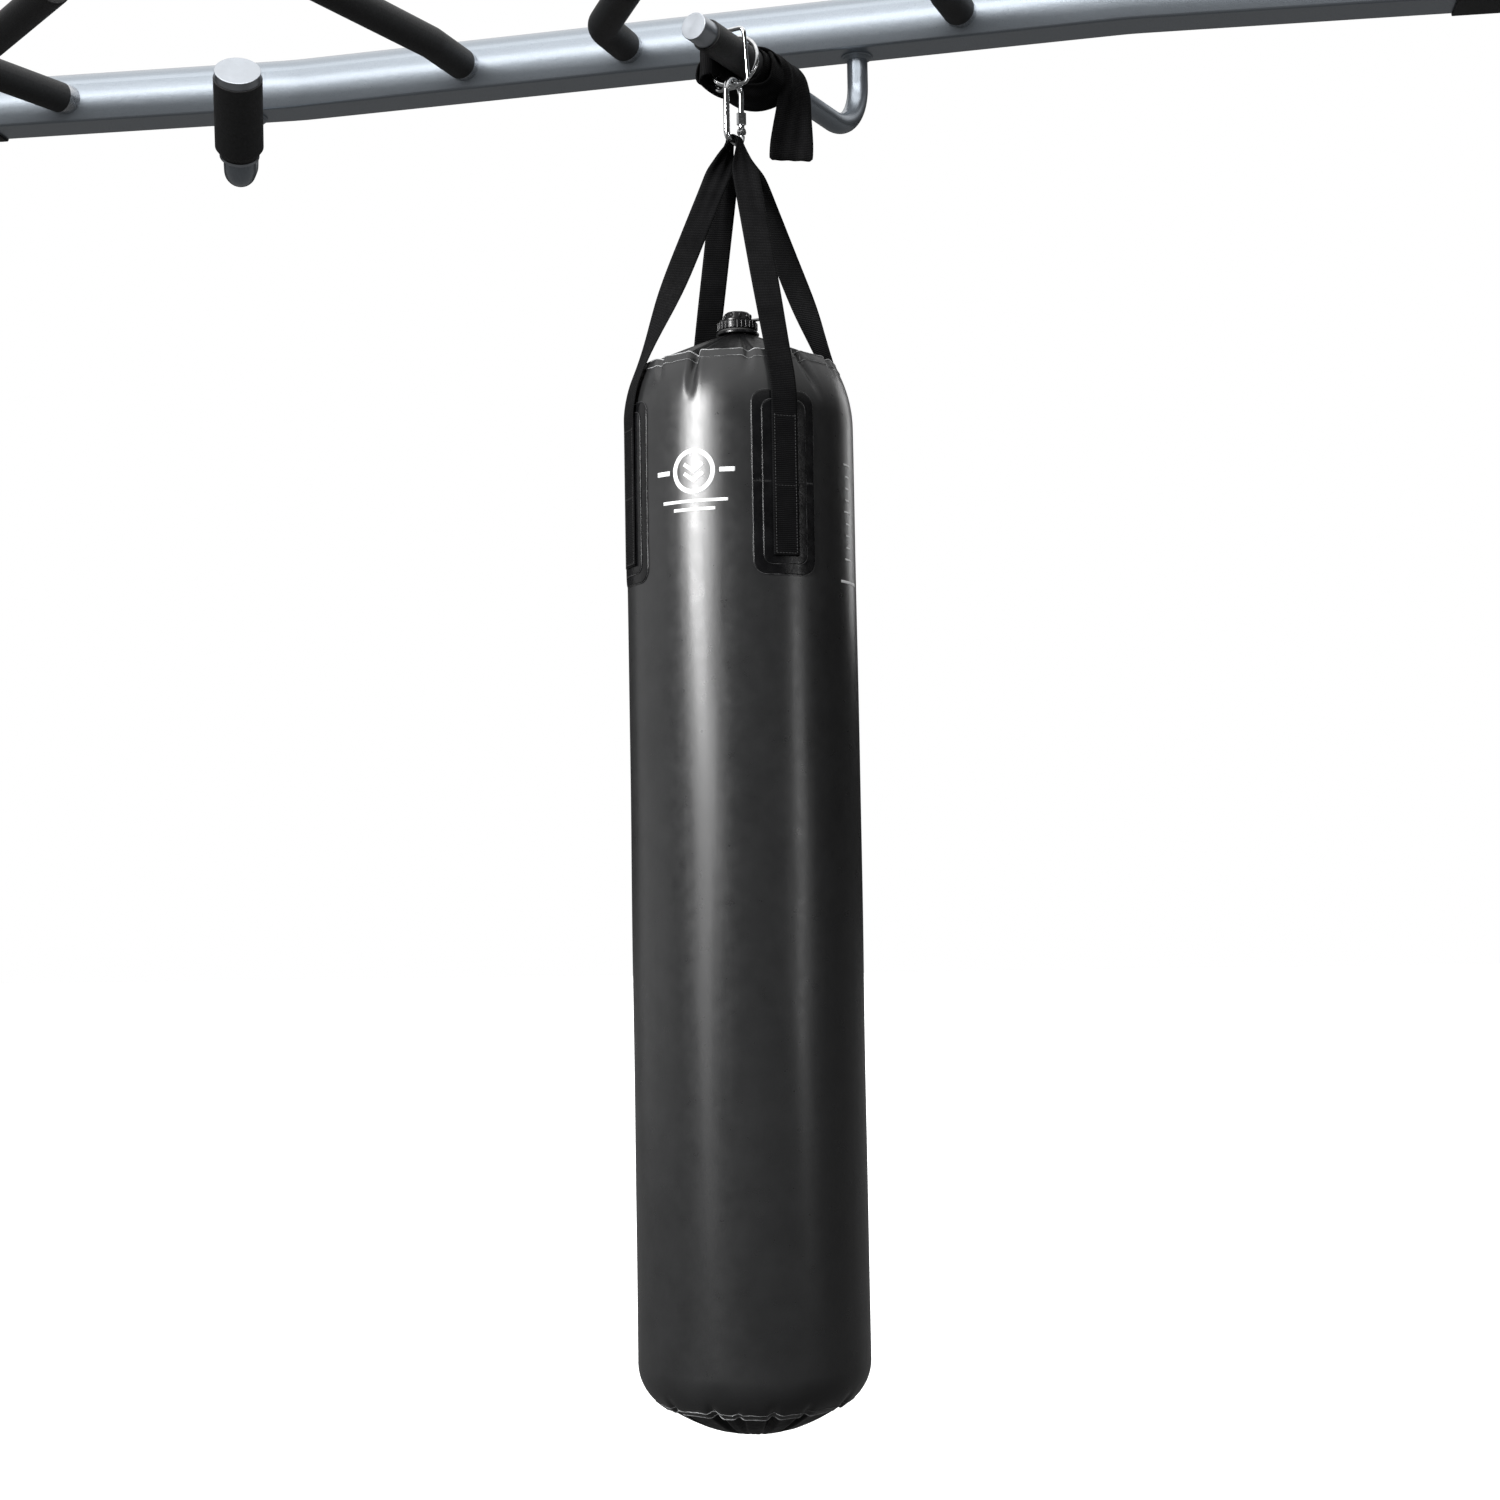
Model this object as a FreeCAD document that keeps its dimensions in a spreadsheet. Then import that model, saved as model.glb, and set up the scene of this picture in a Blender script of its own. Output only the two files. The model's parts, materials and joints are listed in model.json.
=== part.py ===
"""Hanging punching bag on an overhead training-rig beam, modelled as separate pieces.

Row frame: origin at the middle of the left end flange's outer face, +X along the beam to the
right flange, +Y away from the user's side, +Z up.  All sizes are millimetres.
"""
import FreeCAD, Part
import Sketcher
import math
import os
import re

from FreeCAD import Placement, Rotation, Vector

DIMENSIONS = {
    # overhead beam: a hollow D section, flat below, bellied at the sides and rounded on top
    "beam_length": 2020.0,
    "beam_left_run": 494.0,
    "beam_slant_run": 1065.0,
    "beam_slant_offset": 126.0,
    "beam_bend_radius": 260.0,
    "beam_depth": 65.0,
    "beam_height": 70.0,
    "beam_wall": 3.0,
    "beam_crown_radius": 30.0,
    "beam_edge_radius": 4.0,
    "beam_belly_radius": 75.0,
    "beam_belly_level": -8.0,
    # end sockets and flange plates that bolt the beam to the rest of a rig
    "socket_length": 79.0,
    "socket_wall": 3.0,
    "socket_gap": 0.3,
    "flange_side": 130.0,
    "flange_thickness": 8.0,
    "flange_hole_spacing": 96.0,
    "flange_hole_radius": 5.5,
    "flange_corner_radius": 12.0,
    "screw_radius": 4.0,
    "screw_head_radius": 7.0,
    "screw_head_height": 4.5,
    "screw_inset": 44.0,
    # J-shaped handle that carries the bag
    "j_tube_radius": 12.5,
    "j_tube_wall": 2.0,
    "j_bend_angle": 95.1,
    "j_bend_radius": 60.0,
    "j_flange_radius": 17.0,
    "j_flange_thickness": 4.0,
    "j_grip_radius": 18.0,
    "j_grip_length": 150.0,
    "j_cap_radius": 15.5,
    "j_cap_length": 26.0,
    # stub handle with a thick upturned grip
    "stub_tube_radius": 19.0,
    "stub_tube_wall": 2.5,
    "stub_flange_radius": 28.0,
    "stub_flange_thickness": 5.0,
    "stub_collar_radius": 23.5,
    "stub_collar_length": 5.0,
    "stub_grip_radius": 28.5,
    "stub_grip_length": 104.0,
    "stub_cap_radius": 27.0,
    "stub_cap_length": 10.0,
    # rubber-sleeved rungs
    "rung_tube_radius": 16.0,
    "rung_tube_wall": 2.0,
    "rung_sleeve_radius": 19.5,
    "rung_weld_radius": 19.0,
    "rung_weld_length": 9.0,
    "rung_height": -6.5,
    "rung_blank_inset": 20.0,
    # steel hanging gear
    "ring_wire_radius": 2.5,
    "ring_half_height": 30.0,
    "ring_leg": 21.5,
    "ring_corner_radius": 6.0,
    "ring_splay": 8.0,
    "clip_rod_radius": 3.5,
    "clip_half_width": 15.5,
    "clip_height": 71.5,
    "clip_corner_radius": 10.0,
    "clip_bow_level": -46.0,
    "gate_top_level": -55.0,
    "gate_hinge_level": -86.5,
    "gate_radius": 3.2,
    "gate_bore_radius": 1.7,
    "lock_radius": 5.6,
    "lock_length": 13.0,
    "lock_low_level": -78.0,
    "gate_pin_radius": 1.25,
    "running_gap": 0.05,
    # webbing
    "strap_width": 30.0,
    "strap_thickness": 1.6,
    "strap_bunched_width": 13.0,
    "anchor_width": 50.0,
    "anchor_thickness": 2.2,
    "wrap_start": 36.0,
    "wrap_radius": 19.6,
    "loop_radius": 15.5,
    "loop_offset": -3.0,
    "loop_level": -41.5,
    "eye_start": -19.5,
    "eye_end": 30.0,
    "eye_near": 18.9,
    "eye_far": 36.3,
    "eye_low": -24.0,
    "eye_height": 31.0,
    "tail_place": 90.0,
    "tail_radius": 22.6,
    "tail_drop": 103.0,
    "tail_twist": 38.0,
    # bag
    "bag_radius": 126.5,
    "bag_wall": 1.2,
    "shoulder_radius": 141.7,
    "shoulder_low": -430.0,
    "top_seam_radius": 108.0,
    "top_seam_level": -360.0,
    "top_dome_level": -321.5,
    "valve_hole_radius": 18.0,
    "heel_high": -1447.0,
    "heel_radius": 49.8,
    "base_seam_radius": 100.0,
    "base_seam_level": -1491.0,
    "base_dome_level": -1525.0,
    "fill_gap": 0.4,
    "fill_level": -380.0,
    # welded strap patches
    "patch_width": 71.0,
    "patch_height": 197.0,
    "patch_thickness": 1.2,
    "patch_corner_radius": 15.0,
    "patch_top": -408.0,
    "backing_width": 49.0,
    "backing_margin": 11.0,
    "backing_thickness": 1.0,
    "layer_gap": 0.05,
    "strap_end_inset": 19.0,
    # filler valve; its levels are counted from the flange's seat on the top panel
    "valve_seat_level": -322.4,
    "valve_flange_radius": 24.0,
    "valve_neck_radius": 17.5,
    "valve_bore_radius": 12.0,
    "valve_collar_radius": 22.5,
    "valve_cap_radius": 15.0,
}

# Places of the handles along the beam, in the row frame.
HANG_POINT = Vector(1114.0, -342.0, -111.5)
TIP_DIRECTION = Vector(-0.4067, -0.9135, 0.0).normalize()
J_ROOT = 286.0
TIP_REACH = 81.0
GRIP_SLOPE = 5.1
STUB_ROOT = Vector(422.5, 0.0, -35.0)
STUB_DIRECTION = Vector(0.314, -0.949, 0.0).normalize()
STUB_BENDS = ((22.85, 71.57, 55.0), (191.9, 56.4, 40.0), (112.5, 0.0, 0.0))

# Each rung: place along the beam, heading from -Y towards -X, straight run, bend, second run.
RUNGS = {
    "a": (193.0, 22.0, 167.0, 66.0, 300.0),
    "b": (732.0, 11.6, 91.0, -8.4, 245.0),
    "c": (946.0, 11.6, 80.0, 36.1, 140.0),
    "d": (1359.0, 11.6, 80.0, 36.1, 140.0),
}
RUNG_BEND_RADIUS = 48.0

# Headings of the four straps round the bag, in degrees from +X.
STRAPS = {"front_right": -60.0, "rear_right": 30.0, "rear_left": 120.0, "front_left": 210.0}
SLINGS = {"sling_inner": ("front_left", "rear_right", 0.0), "sling_outer": ("rear_left", "front_right", 2.3)}

# Halfway up, every strap has turned its flat side to the front.
STRAP_FACING = Vector(math.cos(math.radians(8.0)), math.sin(math.radians(8.0)), 0.0)

doc = FreeCAD.newDocument("PunchingBag")
sheet = doc.addObject("Spreadsheet::Sheet", "Dims")
for row, (alias, size) in enumerate(DIMENSIONS.items(), start=1):
    sheet.set("A%d" % row, alias)
    sheet.set("B%d" % row, repr(size))
    sheet.setAlias("B%d" % row, alias)
doc.recompute()


# ---------------------------------------------------------------- shared helpers
def dim(alias):
    """The sheet's present value of a driving dimension."""
    return float(getattr(sheet, alias))


def expand(expression):
    """An expression over dimension names, written the way the document needs it."""
    def prefix(match):
        word = match.group(0)
        return "Dims." + word if word in DIMENSIONS else word
    return re.sub(r"[a-z][a-z_]*", prefix, str(expression))


def evaluate(expression):
    return float(sheet.evalExpression(expand(expression)))


def origin_plane(body, role):
    for feature in body.Origin.OriginFeatures:
        if feature.Role == role:
            return feature
    raise ValueError(role)


def new_body(label, placement=Placement()):
    body = doc.addObject("PartDesign::Body", label)
    body.Label = label
    body.Placement = placement
    return body


def new_sketch(body, name, role):
    sketch = body.newObject("Sketcher::SketchObject", body.Name + "_" + name)
    sketch.AttachmentSupport = [(origin_plane(body, role), "")]
    sketch.MapMode = "FlatFace"
    return sketch


def constrain(sketch, expression, *reference):
    """Add a sized constraint and bind it to the sheet."""
    index = sketch.addConstraint(Sketcher.Constraint(*reference, evaluate(expression)))
    sketch.setExpression("Constraints[%d]" % index, expand(expression))


def pin_vertex(sketch, edge, end, point):
    """Hold one end of an edge at a point given by two expressions."""
    for kind, axis, expression in (("DistanceX", -2, point[0]), ("DistanceY", -1, point[1])):
        if abs(evaluate(expression)) < 1e-9:
            sketch.addConstraint(Sketcher.Constraint("PointOnObject", edge, end, axis))
        else:
            constrain(sketch, expression, kind, -1, 1, edge, end)


def arc_between(start, end, radius):
    """The short arc from start to end; a positive radius bulges to the left of the chord."""
    chord = end - start
    middle = start + chord * 0.5
    normal = Vector(-chord.y, chord.x, 0).normalize()
    height = math.sqrt(max(radius * radius - chord.Length ** 2 / 4.0, 0.0))
    side = 1.0 if radius > 0 else -1.0
    centre = middle - normal * (side * height)
    top = centre + normal * (side * abs(radius))
    return Part.Arc(start, top, end)


def draw_outline(sketch, corners):
    """Closed outline: corners are (x, y) or (x, y, r), r being the arc that leads to the corner."""
    points = [Vector(evaluate(c[0]), evaluate(c[1]), 0) for c in corners]
    edges = []
    for number, corner in enumerate(corners):
        start, end = points[number - 1], points[number]
        if len(corner) == 2:
            edges.append(sketch.addGeometry(Part.LineSegment(start, end), False))
        else:
            edges.append(sketch.addGeometry(arc_between(start, end, evaluate(corner[2])), False))
    ends = []
    for number, corner in enumerate(corners):
        reversed_arc = len(corner) == 3 and evaluate(corner[2]) > 0
        ends.append((2, 1) if reversed_arc else (1, 2))
    for number, corner in enumerate(corners):
        following = (number + 1) % len(corners)
        sketch.addConstraint(Sketcher.Constraint(
            "Coincident", edges[number], ends[number][1], edges[following], ends[following][0]))
        pin_vertex(sketch, edges[number], ends[number][1], corner)
        if len(corner) == 3:
            constrain(sketch, "abs(%s)" % corner[2], "Radius", edges[number])


def turned(label, outline, placement=Placement()):
    """A piece turned about its local Z axis from an outline of (radius, height) corners."""
    body = new_body(label, placement)
    sketch = new_sketch(body, "section", "XZ_Plane")
    draw_outline(sketch, outline)
    turn = body.newObject("PartDesign::Revolution", label + "_turn")
    turn.Profile = sketch
    turn.ReferenceAxis = (sketch, ["V_Axis"])
    turn.Angle = 360.0
    return body


def circle(sketch, radius):
    index = sketch.addGeometry(Part.Circle(Vector(0, 0, 0), Vector(0, 0, 1), evaluate(radius)), False)
    sketch.addConstraint(Sketcher.Constraint("Coincident", index, 3, -1, 1))
    constrain(sketch, radius, "Radius", index)


def walk(bends):
    """Straight ends and arc middles of a bend table of (run, bend angle, bend radius)."""
    position, heading = Vector(0, 0, 0), 0.0
    pieces = []
    for run, angle, radius in bends:
        direction = Vector(math.cos(heading), math.sin(heading), 0)
        after = position + direction * run
        pieces.append(("line", position, after))
        position = after
        if angle:
            turn = math.radians(angle)
            side = math.copysign(1.0, angle)
            centre = position + Vector(-math.sin(heading), math.cos(heading), 0) * (side * radius)
            spoke = position - centre
            middle = centre + Rotation(Vector(0, 0, 1), angle / 2).multVec(spoke)
            after = centre + Rotation(Vector(0, 0, 1), angle).multVec(spoke)
            pieces.append(("arc", position, after, middle, radius))
            position = after
            heading += turn
    return pieces, position, heading


def draw_spine(sketch, bends):
    """A tube's bent centreline: the run lengths, bend radii and bend angles are all held."""
    pieces, _, _ = walk(bends)
    previous = None
    heading = 0.0
    for piece in pieces:
        if piece[0] == "line":
            index = sketch.addGeometry(Part.LineSegment(piece[1], piece[2]), False)
            ends = (1, 2)
            length = (piece[2] - piece[1]).Length
            sketch.addConstraint(Sketcher.Constraint("Distance", index, length))
        else:
            index = sketch.addGeometry(Part.Arc(piece[1], piece[3], piece[2]), False)
            start = sketch.getPoint(index, 1)
            ends = (1, 2) if (start - piece[1]).Length < 1e-6 else (2, 1)
            sketch.addConstraint(Sketcher.Constraint("Radius", index, piece[4]))
        if previous is None:
            sketch.addConstraint(Sketcher.Constraint("Coincident", index, 1, -1, 1))
            sketch.addConstraint(Sketcher.Constraint("Horizontal", index))
        else:
            sketch.addConstraint(Sketcher.Constraint("Tangent", previous[0], previous[1], index, ends[0]))
        previous = (index, ends[1])
    return heading


def swept(label, bends, sections, placement=Placement()):
    """A piece swept from its local origin along +X and round the bend table in local XY."""
    body = new_body(label, placement)
    spine = new_sketch(body, "spine", "XY_Plane")
    draw_spine(spine, bends)
    profile = new_sketch(body, "profile", "YZ_Plane")
    for section in sections:
        if isinstance(section, str):
            circle(profile, section)
        else:
            draw_outline(profile, section)
    doc.recompute()
    pipe = body.newObject("PartDesign::AdditivePipe", label + "_pipe")
    pipe.Profile = profile
    pipe.Spine = (spine, ["Edge%d" % (n + 1) for n in range(len(spine.Geometry))])
    return body


def axes(origin, first, second):
    """A placement whose local X is first and whose local Y lies towards second."""
    third = first.cross(second).normalize()
    return Placement(origin, Rotation(first, third.cross(first), third, "XYZ"))


def z_along(origin, direction):
    """A placement whose local Z points along a direction."""
    return Placement(origin, Rotation(Vector(0, 0, 1), direction))


def shape_feature(label, shape, placement=Placement()):
    feature = doc.addObject("Part::Feature", label)
    feature.Label = label
    feature.Shape = shape
    feature.Placement = placement
    return feature


def combined(kind, label, parts):
    feature = doc.addObject(kind, label)
    feature.Label = label
    if kind == "Part::Cut":
        feature.Base, feature.Tool = parts
    elif kind == "Part::Compound":
        feature.Links = parts
    else:
        feature.Shapes = parts
    return feature


def webbing(stations, thickness):
    """A flat ribbon through stations of (middle, direction of its width, width)."""
    rings = []
    middles = [station[0] for station in stations]
    for number, (middle, across, width) in enumerate(stations):
        run = middles[min(number + 1, len(middles) - 1)] - middles[max(number - 1, 0)]
        half = across.normalize() * (width / 2.0)
        normal = across.cross(run).normalize() * (thickness / 2.0)
        corners = [middle - half - normal, middle + half - normal, middle + half + normal,
                   middle - half + normal]
        rings.append(Part.makePolygon(corners + corners[:1]))
    return Part.makeLoft(rings, True, True)


# ---------------------------------------------------------------- overhead beam
def side_corner(radius, drop, grow):
    """Centre x of a corner arc that blends into the bellied side, and where the two arcs meet.

    The corner's centre lies a drop below the belly's centre; all three results are expressions.
    """
    belly_x = "(beam_depth / 2 - beam_belly_radius)"
    reach = "sqrt((beam_belly_radius - %s)^2 - (%s)^2)" % (radius, drop)
    stretch = "((beam_belly_radius + (%s)) / (beam_belly_radius - %s))" % (grow, radius)
    centre = "(%s + %s)" % (belly_x, reach)
    meet_x = "(%s + %s * %s)" % (belly_x, reach, stretch)
    meet_y = "(beam_belly_level - (%s) * %s)" % (drop, stretch)
    return centre, meet_x, meet_y


def d_section(grow):
    """The beam's D outline, offset outwards by an expression; local x is depth, y is height."""
    level = "(beam_height / 2 + (%s))" % grow
    edge = "-(beam_edge_radius + (%s))" % grow
    crown = "-(beam_crown_radius + (%s))" % grow
    belly = "-(beam_belly_radius + (%s))" % grow
    foot, foot_x, foot_y = side_corner(
        "beam_edge_radius", "beam_belly_level + beam_height / 2 - beam_edge_radius", grow)
    top, top_x, top_y = side_corner(
        "beam_crown_radius", "beam_belly_level - beam_height / 2 + beam_crown_radius", grow)
    return [
        ("-" + foot, "-" + level, edge),
        (foot, "-" + level),
        (foot_x, foot_y, edge),
        (top_x, top_y, belly),
        (top, level, crown),
        ("-" + top, level),
        ("-" + top_x, top_y, crown),
        ("-" + foot_x, foot_y, belly),
    ]


def beam_slope():
    return math.atan2(dim("beam_slant_offset"), dim("beam_slant_run"))


def beam_line(x):
    """The beam centreline's y at a place along the row."""
    left, slant = dim("beam_left_run"), dim("beam_slant_run")
    return -dim("beam_slant_offset") * min(max((x - left) / slant, 0.0), 1.0)


def beam_sweep(label, sections):
    """Sections swept along the beam's centreline, which is bent twice in plan."""
    angle = math.degrees(beam_slope())
    radius = dim("beam_bend_radius")
    tangent = radius * math.tan(beam_slope() / 2)
    slant = math.hypot(dim("beam_slant_run"), dim("beam_slant_offset"))
    start = dim("flange_thickness")
    last = dim("beam_length") - dim("beam_left_run") - dim("beam_slant_run") - start
    bends = [(dim("beam_left_run") - start - tangent, -angle, radius),
             (slant - 2 * tangent, angle, radius), (last - tangent, 0.0, 0.0)]
    return swept(label, bends, sections, Placement(Vector(start, 0, 0), Rotation()))


def end_socket(label, start):
    body = new_body(label, Placement(start, Rotation()))
    sketch = new_sketch(body, "section", "YZ_Plane")
    draw_outline(sketch, d_section("socket_gap + socket_wall"))
    draw_outline(sketch, d_section("socket_gap"))
    pad = body.newObject("PartDesign::Pad", label + "_pad")
    pad.Profile = sketch
    pad.setExpression("Length", expand("socket_length"))
    return body


def flange_plate(label, x):
    body = new_body(label, Placement(Vector(x, 0, 0), Rotation()))
    sketch = new_sketch(body, "outline", "YZ_Plane")
    half = "flange_side / 2"
    draw_outline(sketch, [("-%s" % half, "-%s" % half), (half, "-%s" % half), (half, half),
                          ("-%s" % half, half)])
    pad = body.newObject("PartDesign::Pad", label + "_pad")
    pad.Profile = sketch
    pad.setExpression("Length", expand("flange_thickness"))
    holes = new_sketch(body, "holes", "YZ_Plane")
    for y_side in (-1, 1):
        for z_side in (-1, 1):
            place = dim("flange_hole_spacing") / 2
            index = holes.addGeometry(Part.Circle(
                Vector(y_side * place, z_side * place, 0), Vector(0, 0, 1), dim("flange_hole_radius")), False)
            constrain(holes, "%d * flange_hole_spacing / 2" % y_side, "DistanceX", -1, 1, index, 3)
            constrain(holes, "%d * flange_hole_spacing / 2" % z_side, "DistanceY", -1, 1, index, 3)
            constrain(holes, "flange_hole_radius", "Radius", index)
    pocket = body.newObject("PartDesign::Pocket", label + "_holes")
    pocket.Profile = holes
    pocket.Type = 1
    pocket.Midplane = True
    doc.recompute()
    fillet = body.newObject("PartDesign::Fillet", label + "_corners")
    edges = [n for n, edge in enumerate(pocket.Shape.Edges, start=1)
             if edge.Curve.TypeId == "Part::GeomLine" and abs(edge.tangentAt(0).x) > 0.99
             and abs(edge.Vertexes[0].Y) > dim("flange_side") / 2 - 0.1]
    fillet.Base = (pocket, ["Edge%d" % n for n in edges])
    fillet.setExpression("Radius", expand("flange_corner_radius"))
    return body


def socket_screw(name, place, outward):
    """A button-head screw; local +Z points out of the socket."""
    return turned(name, [("0", "-9"), ("screw_radius", "-9"), ("screw_radius", "0"),
                         ("screw_head_radius", "0"), ("screw_head_radius", "1.2"),
                         ("screw_head_radius - 3", "screw_head_height", "-6.2"),
                         ("2.2", "screw_head_height"), ("2.2", "screw_head_height - 2.4"),
                         ("0", "screw_head_height - 2.4")],
                  z_along(place, outward))


def beam_group():
    """Beam, sockets, plates and screws, with the screw holes bored through sockets and beam."""
    length = dim("beam_length")
    right_y = -dim("beam_slant_offset")
    skin = dim("beam_depth") / 2 + dim("socket_gap") + dim("socket_wall")
    level = Vector(0, 0, dim("beam_belly_level"))
    screws, bores = [], []
    for side, x, y in (("left", dim("screw_inset"), 0.0), ("right", length - dim("screw_inset"), right_y)):
        for face, sign in (("front", -1.0), ("rear", 1.0)):
            place = Vector(x, y + sign * skin, 0) + level
            name = "socket_screw_%s_%s" % (side, face)
            screws.append(socket_screw(name, place, Vector(0, sign, 0)))
            bores.append(turned("screw_bore_%s_%s" % (side, face),
                                [("0", "-14"), ("screw_radius + 0.1", "-14"),
                                 ("screw_radius + 0.1", "10"), ("0", "10")],
                                z_along(place, Vector(0, sign, 0))))
    tools = combined("Part::Compound", "screw_bores", bores)
    blank = beam_sweep("overhead_beam_tube", [d_section("0"), d_section("-beam_wall")])
    beam = combined("Part::Cut", "overhead_beam", (blank, tools))
    thick = dim("flange_thickness")
    left_blank = end_socket("left_socket_blank", Vector(thick, 0, 0))
    right_x = length - thick - dim("socket_length")
    right_blank = end_socket("right_socket_blank", Vector(right_x, right_y, 0))
    left = combined("Part::Cut", "left_end_socket", (left_blank, tools))
    right = combined("Part::Cut", "right_end_socket", (right_blank, tools))
    left_plate = flange_plate("left_flange_plate", 0.0)
    right_plate = flange_plate("right_flange_plate", length - thick)
    right_plate.Placement.Base.y = right_y
    return [beam, left, right, left_plate, right_plate, combined("Part::Compound", "socket_screws", screws)]


# ---------------------------------------------------------------- handles
def grip_direction():
    slope = math.radians(GRIP_SLOPE)
    return (TIP_DIRECTION * math.cos(slope) + Vector(0, 0, 1) * math.sin(slope)).normalize()


def j_root_point():
    level = TIP_DIRECTION * (-J_ROOT * math.cos(math.radians(GRIP_SLOPE)))
    return Vector(HANG_POINT.x + level.x, HANG_POINT.y + level.y, -dim("beam_height") / 2)


def j_handle():
    root = j_root_point()
    tangent = dim("j_bend_radius") * math.tan(math.radians(dim("j_bend_angle") / 2))
    drop = root.z - HANG_POINT.z + J_ROOT * math.sin(math.radians(GRIP_SLOPE)) - tangent
    reach = J_ROOT + TIP_REACH - 5.6 - tangent
    bends = [(drop, dim("j_bend_angle"), dim("j_bend_radius")), (reach, 0.0, 0.0)]
    tube = swept("j_handle_tube", bends, ["j_tube_radius", "j_tube_radius - j_tube_wall"],
                 axes(root, Vector(0, 0, -1), TIP_DIRECTION))
    flange = turned("j_handle_flange", [
        ("j_tube_radius + running_gap", "0"), ("j_flange_radius", "0"),
        ("j_flange_radius", "j_flange_thickness - 1"),
        ("j_flange_radius - 1", "j_flange_thickness", "1"),
        ("j_tube_radius + running_gap", "j_flange_thickness")], z_along(root, Vector(0, 0, -1)))
    along = grip_direction()
    cap_face = HANG_POINT + along * TIP_REACH
    grip = turned("j_handle_grip", [
        ("j_tube_radius + running_gap", "0"), ("j_grip_radius - 1.2", "0"), ("j_grip_radius", "1.2", "-1.2"),
        ("j_grip_radius", "j_grip_length - 1.2"), ("j_grip_radius - 1.2", "j_grip_length", "-1.2"),
        ("j_tube_radius + running_gap", "j_grip_length")],
        z_along(cap_face - along * (dim("j_cap_length") + 0.1 + dim("j_grip_length")), along))
    cap = turned("j_handle_end_cap", [
        ("0", "j_cap_length"), ("0", "j_cap_length - 5.5"), ("j_tube_radius + running_gap", "j_cap_length - 5.5"),
        ("j_tube_radius + running_gap", "0"), ("j_cap_radius", "0"),
        ("j_cap_radius", "j_cap_length - 0.8"), ("j_cap_radius - 0.8", "j_cap_length", "-0.8")],
        z_along(cap_face - along * dim("j_cap_length"), along))
    return [flange, tube, grip, cap]


def along_bends(bends, placement, distance):
    """A point on the last straight of a bent tube, counted from that straight's start."""
    pieces, end, heading = walk(bends)
    start = pieces[-1][1]
    direction = Vector(math.cos(heading), math.sin(heading), 0)
    return placement.multVec(start + direction * distance), placement.Rotation.multVec(direction)


def stub_handle():
    place = axes(STUB_ROOT, Vector(0, 0, -1), STUB_DIRECTION)
    tube = swept("stub_handle_tube", STUB_BENDS, ["stub_tube_radius", "stub_tube_radius - stub_tube_wall"], place)
    flange = turned("stub_handle_flange", [
        ("stub_tube_radius + running_gap", "0"), ("stub_flange_radius", "0"),
        ("stub_flange_radius", "stub_flange_thickness - 1"),
        ("stub_flange_radius - 1", "stub_flange_thickness", "1"),
        ("stub_tube_radius + running_gap", "stub_flange_thickness")], z_along(STUB_ROOT, Vector(0, 0, -1)))
    bore = "stub_tube_radius + running_gap"
    spot, up = along_bends(STUB_BENDS, place, 0.0)
    collar = turned("stub_handle_collar", [
        (bore, "0"), ("stub_collar_radius - 1.5", "0"), ("stub_collar_radius", "1.5"),
        ("stub_collar_radius", "stub_collar_length"), (bore, "stub_collar_length")], z_along(spot, up))
    spot, up = along_bends(STUB_BENDS, place, dim("stub_collar_length") + 0.1)
    grip = turned("stub_handle_grip", [
        (bore, "0"), ("stub_grip_radius - 6", "0"), ("stub_grip_radius", "10"),
        ("stub_grip_radius", "stub_grip_length - 1"), ("stub_grip_radius - 1", "stub_grip_length", "-1"),
        (bore, "stub_grip_length")], z_along(spot, up))
    spot = spot + up * (dim("stub_grip_length") + 0.1)
    cap = turned("stub_handle_end_cap", [
        ("0", "3.7"), (bore, "3.7"), (bore, "0"), ("stub_cap_radius", "0"),
        ("stub_cap_radius", "stub_cap_length - 1.2"), ("stub_cap_radius - 1.2", "stub_cap_length", "-1.2"),
        ("0", "stub_cap_length")], z_along(spot, up))
    return [flange, tube, collar, grip, cap]


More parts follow.
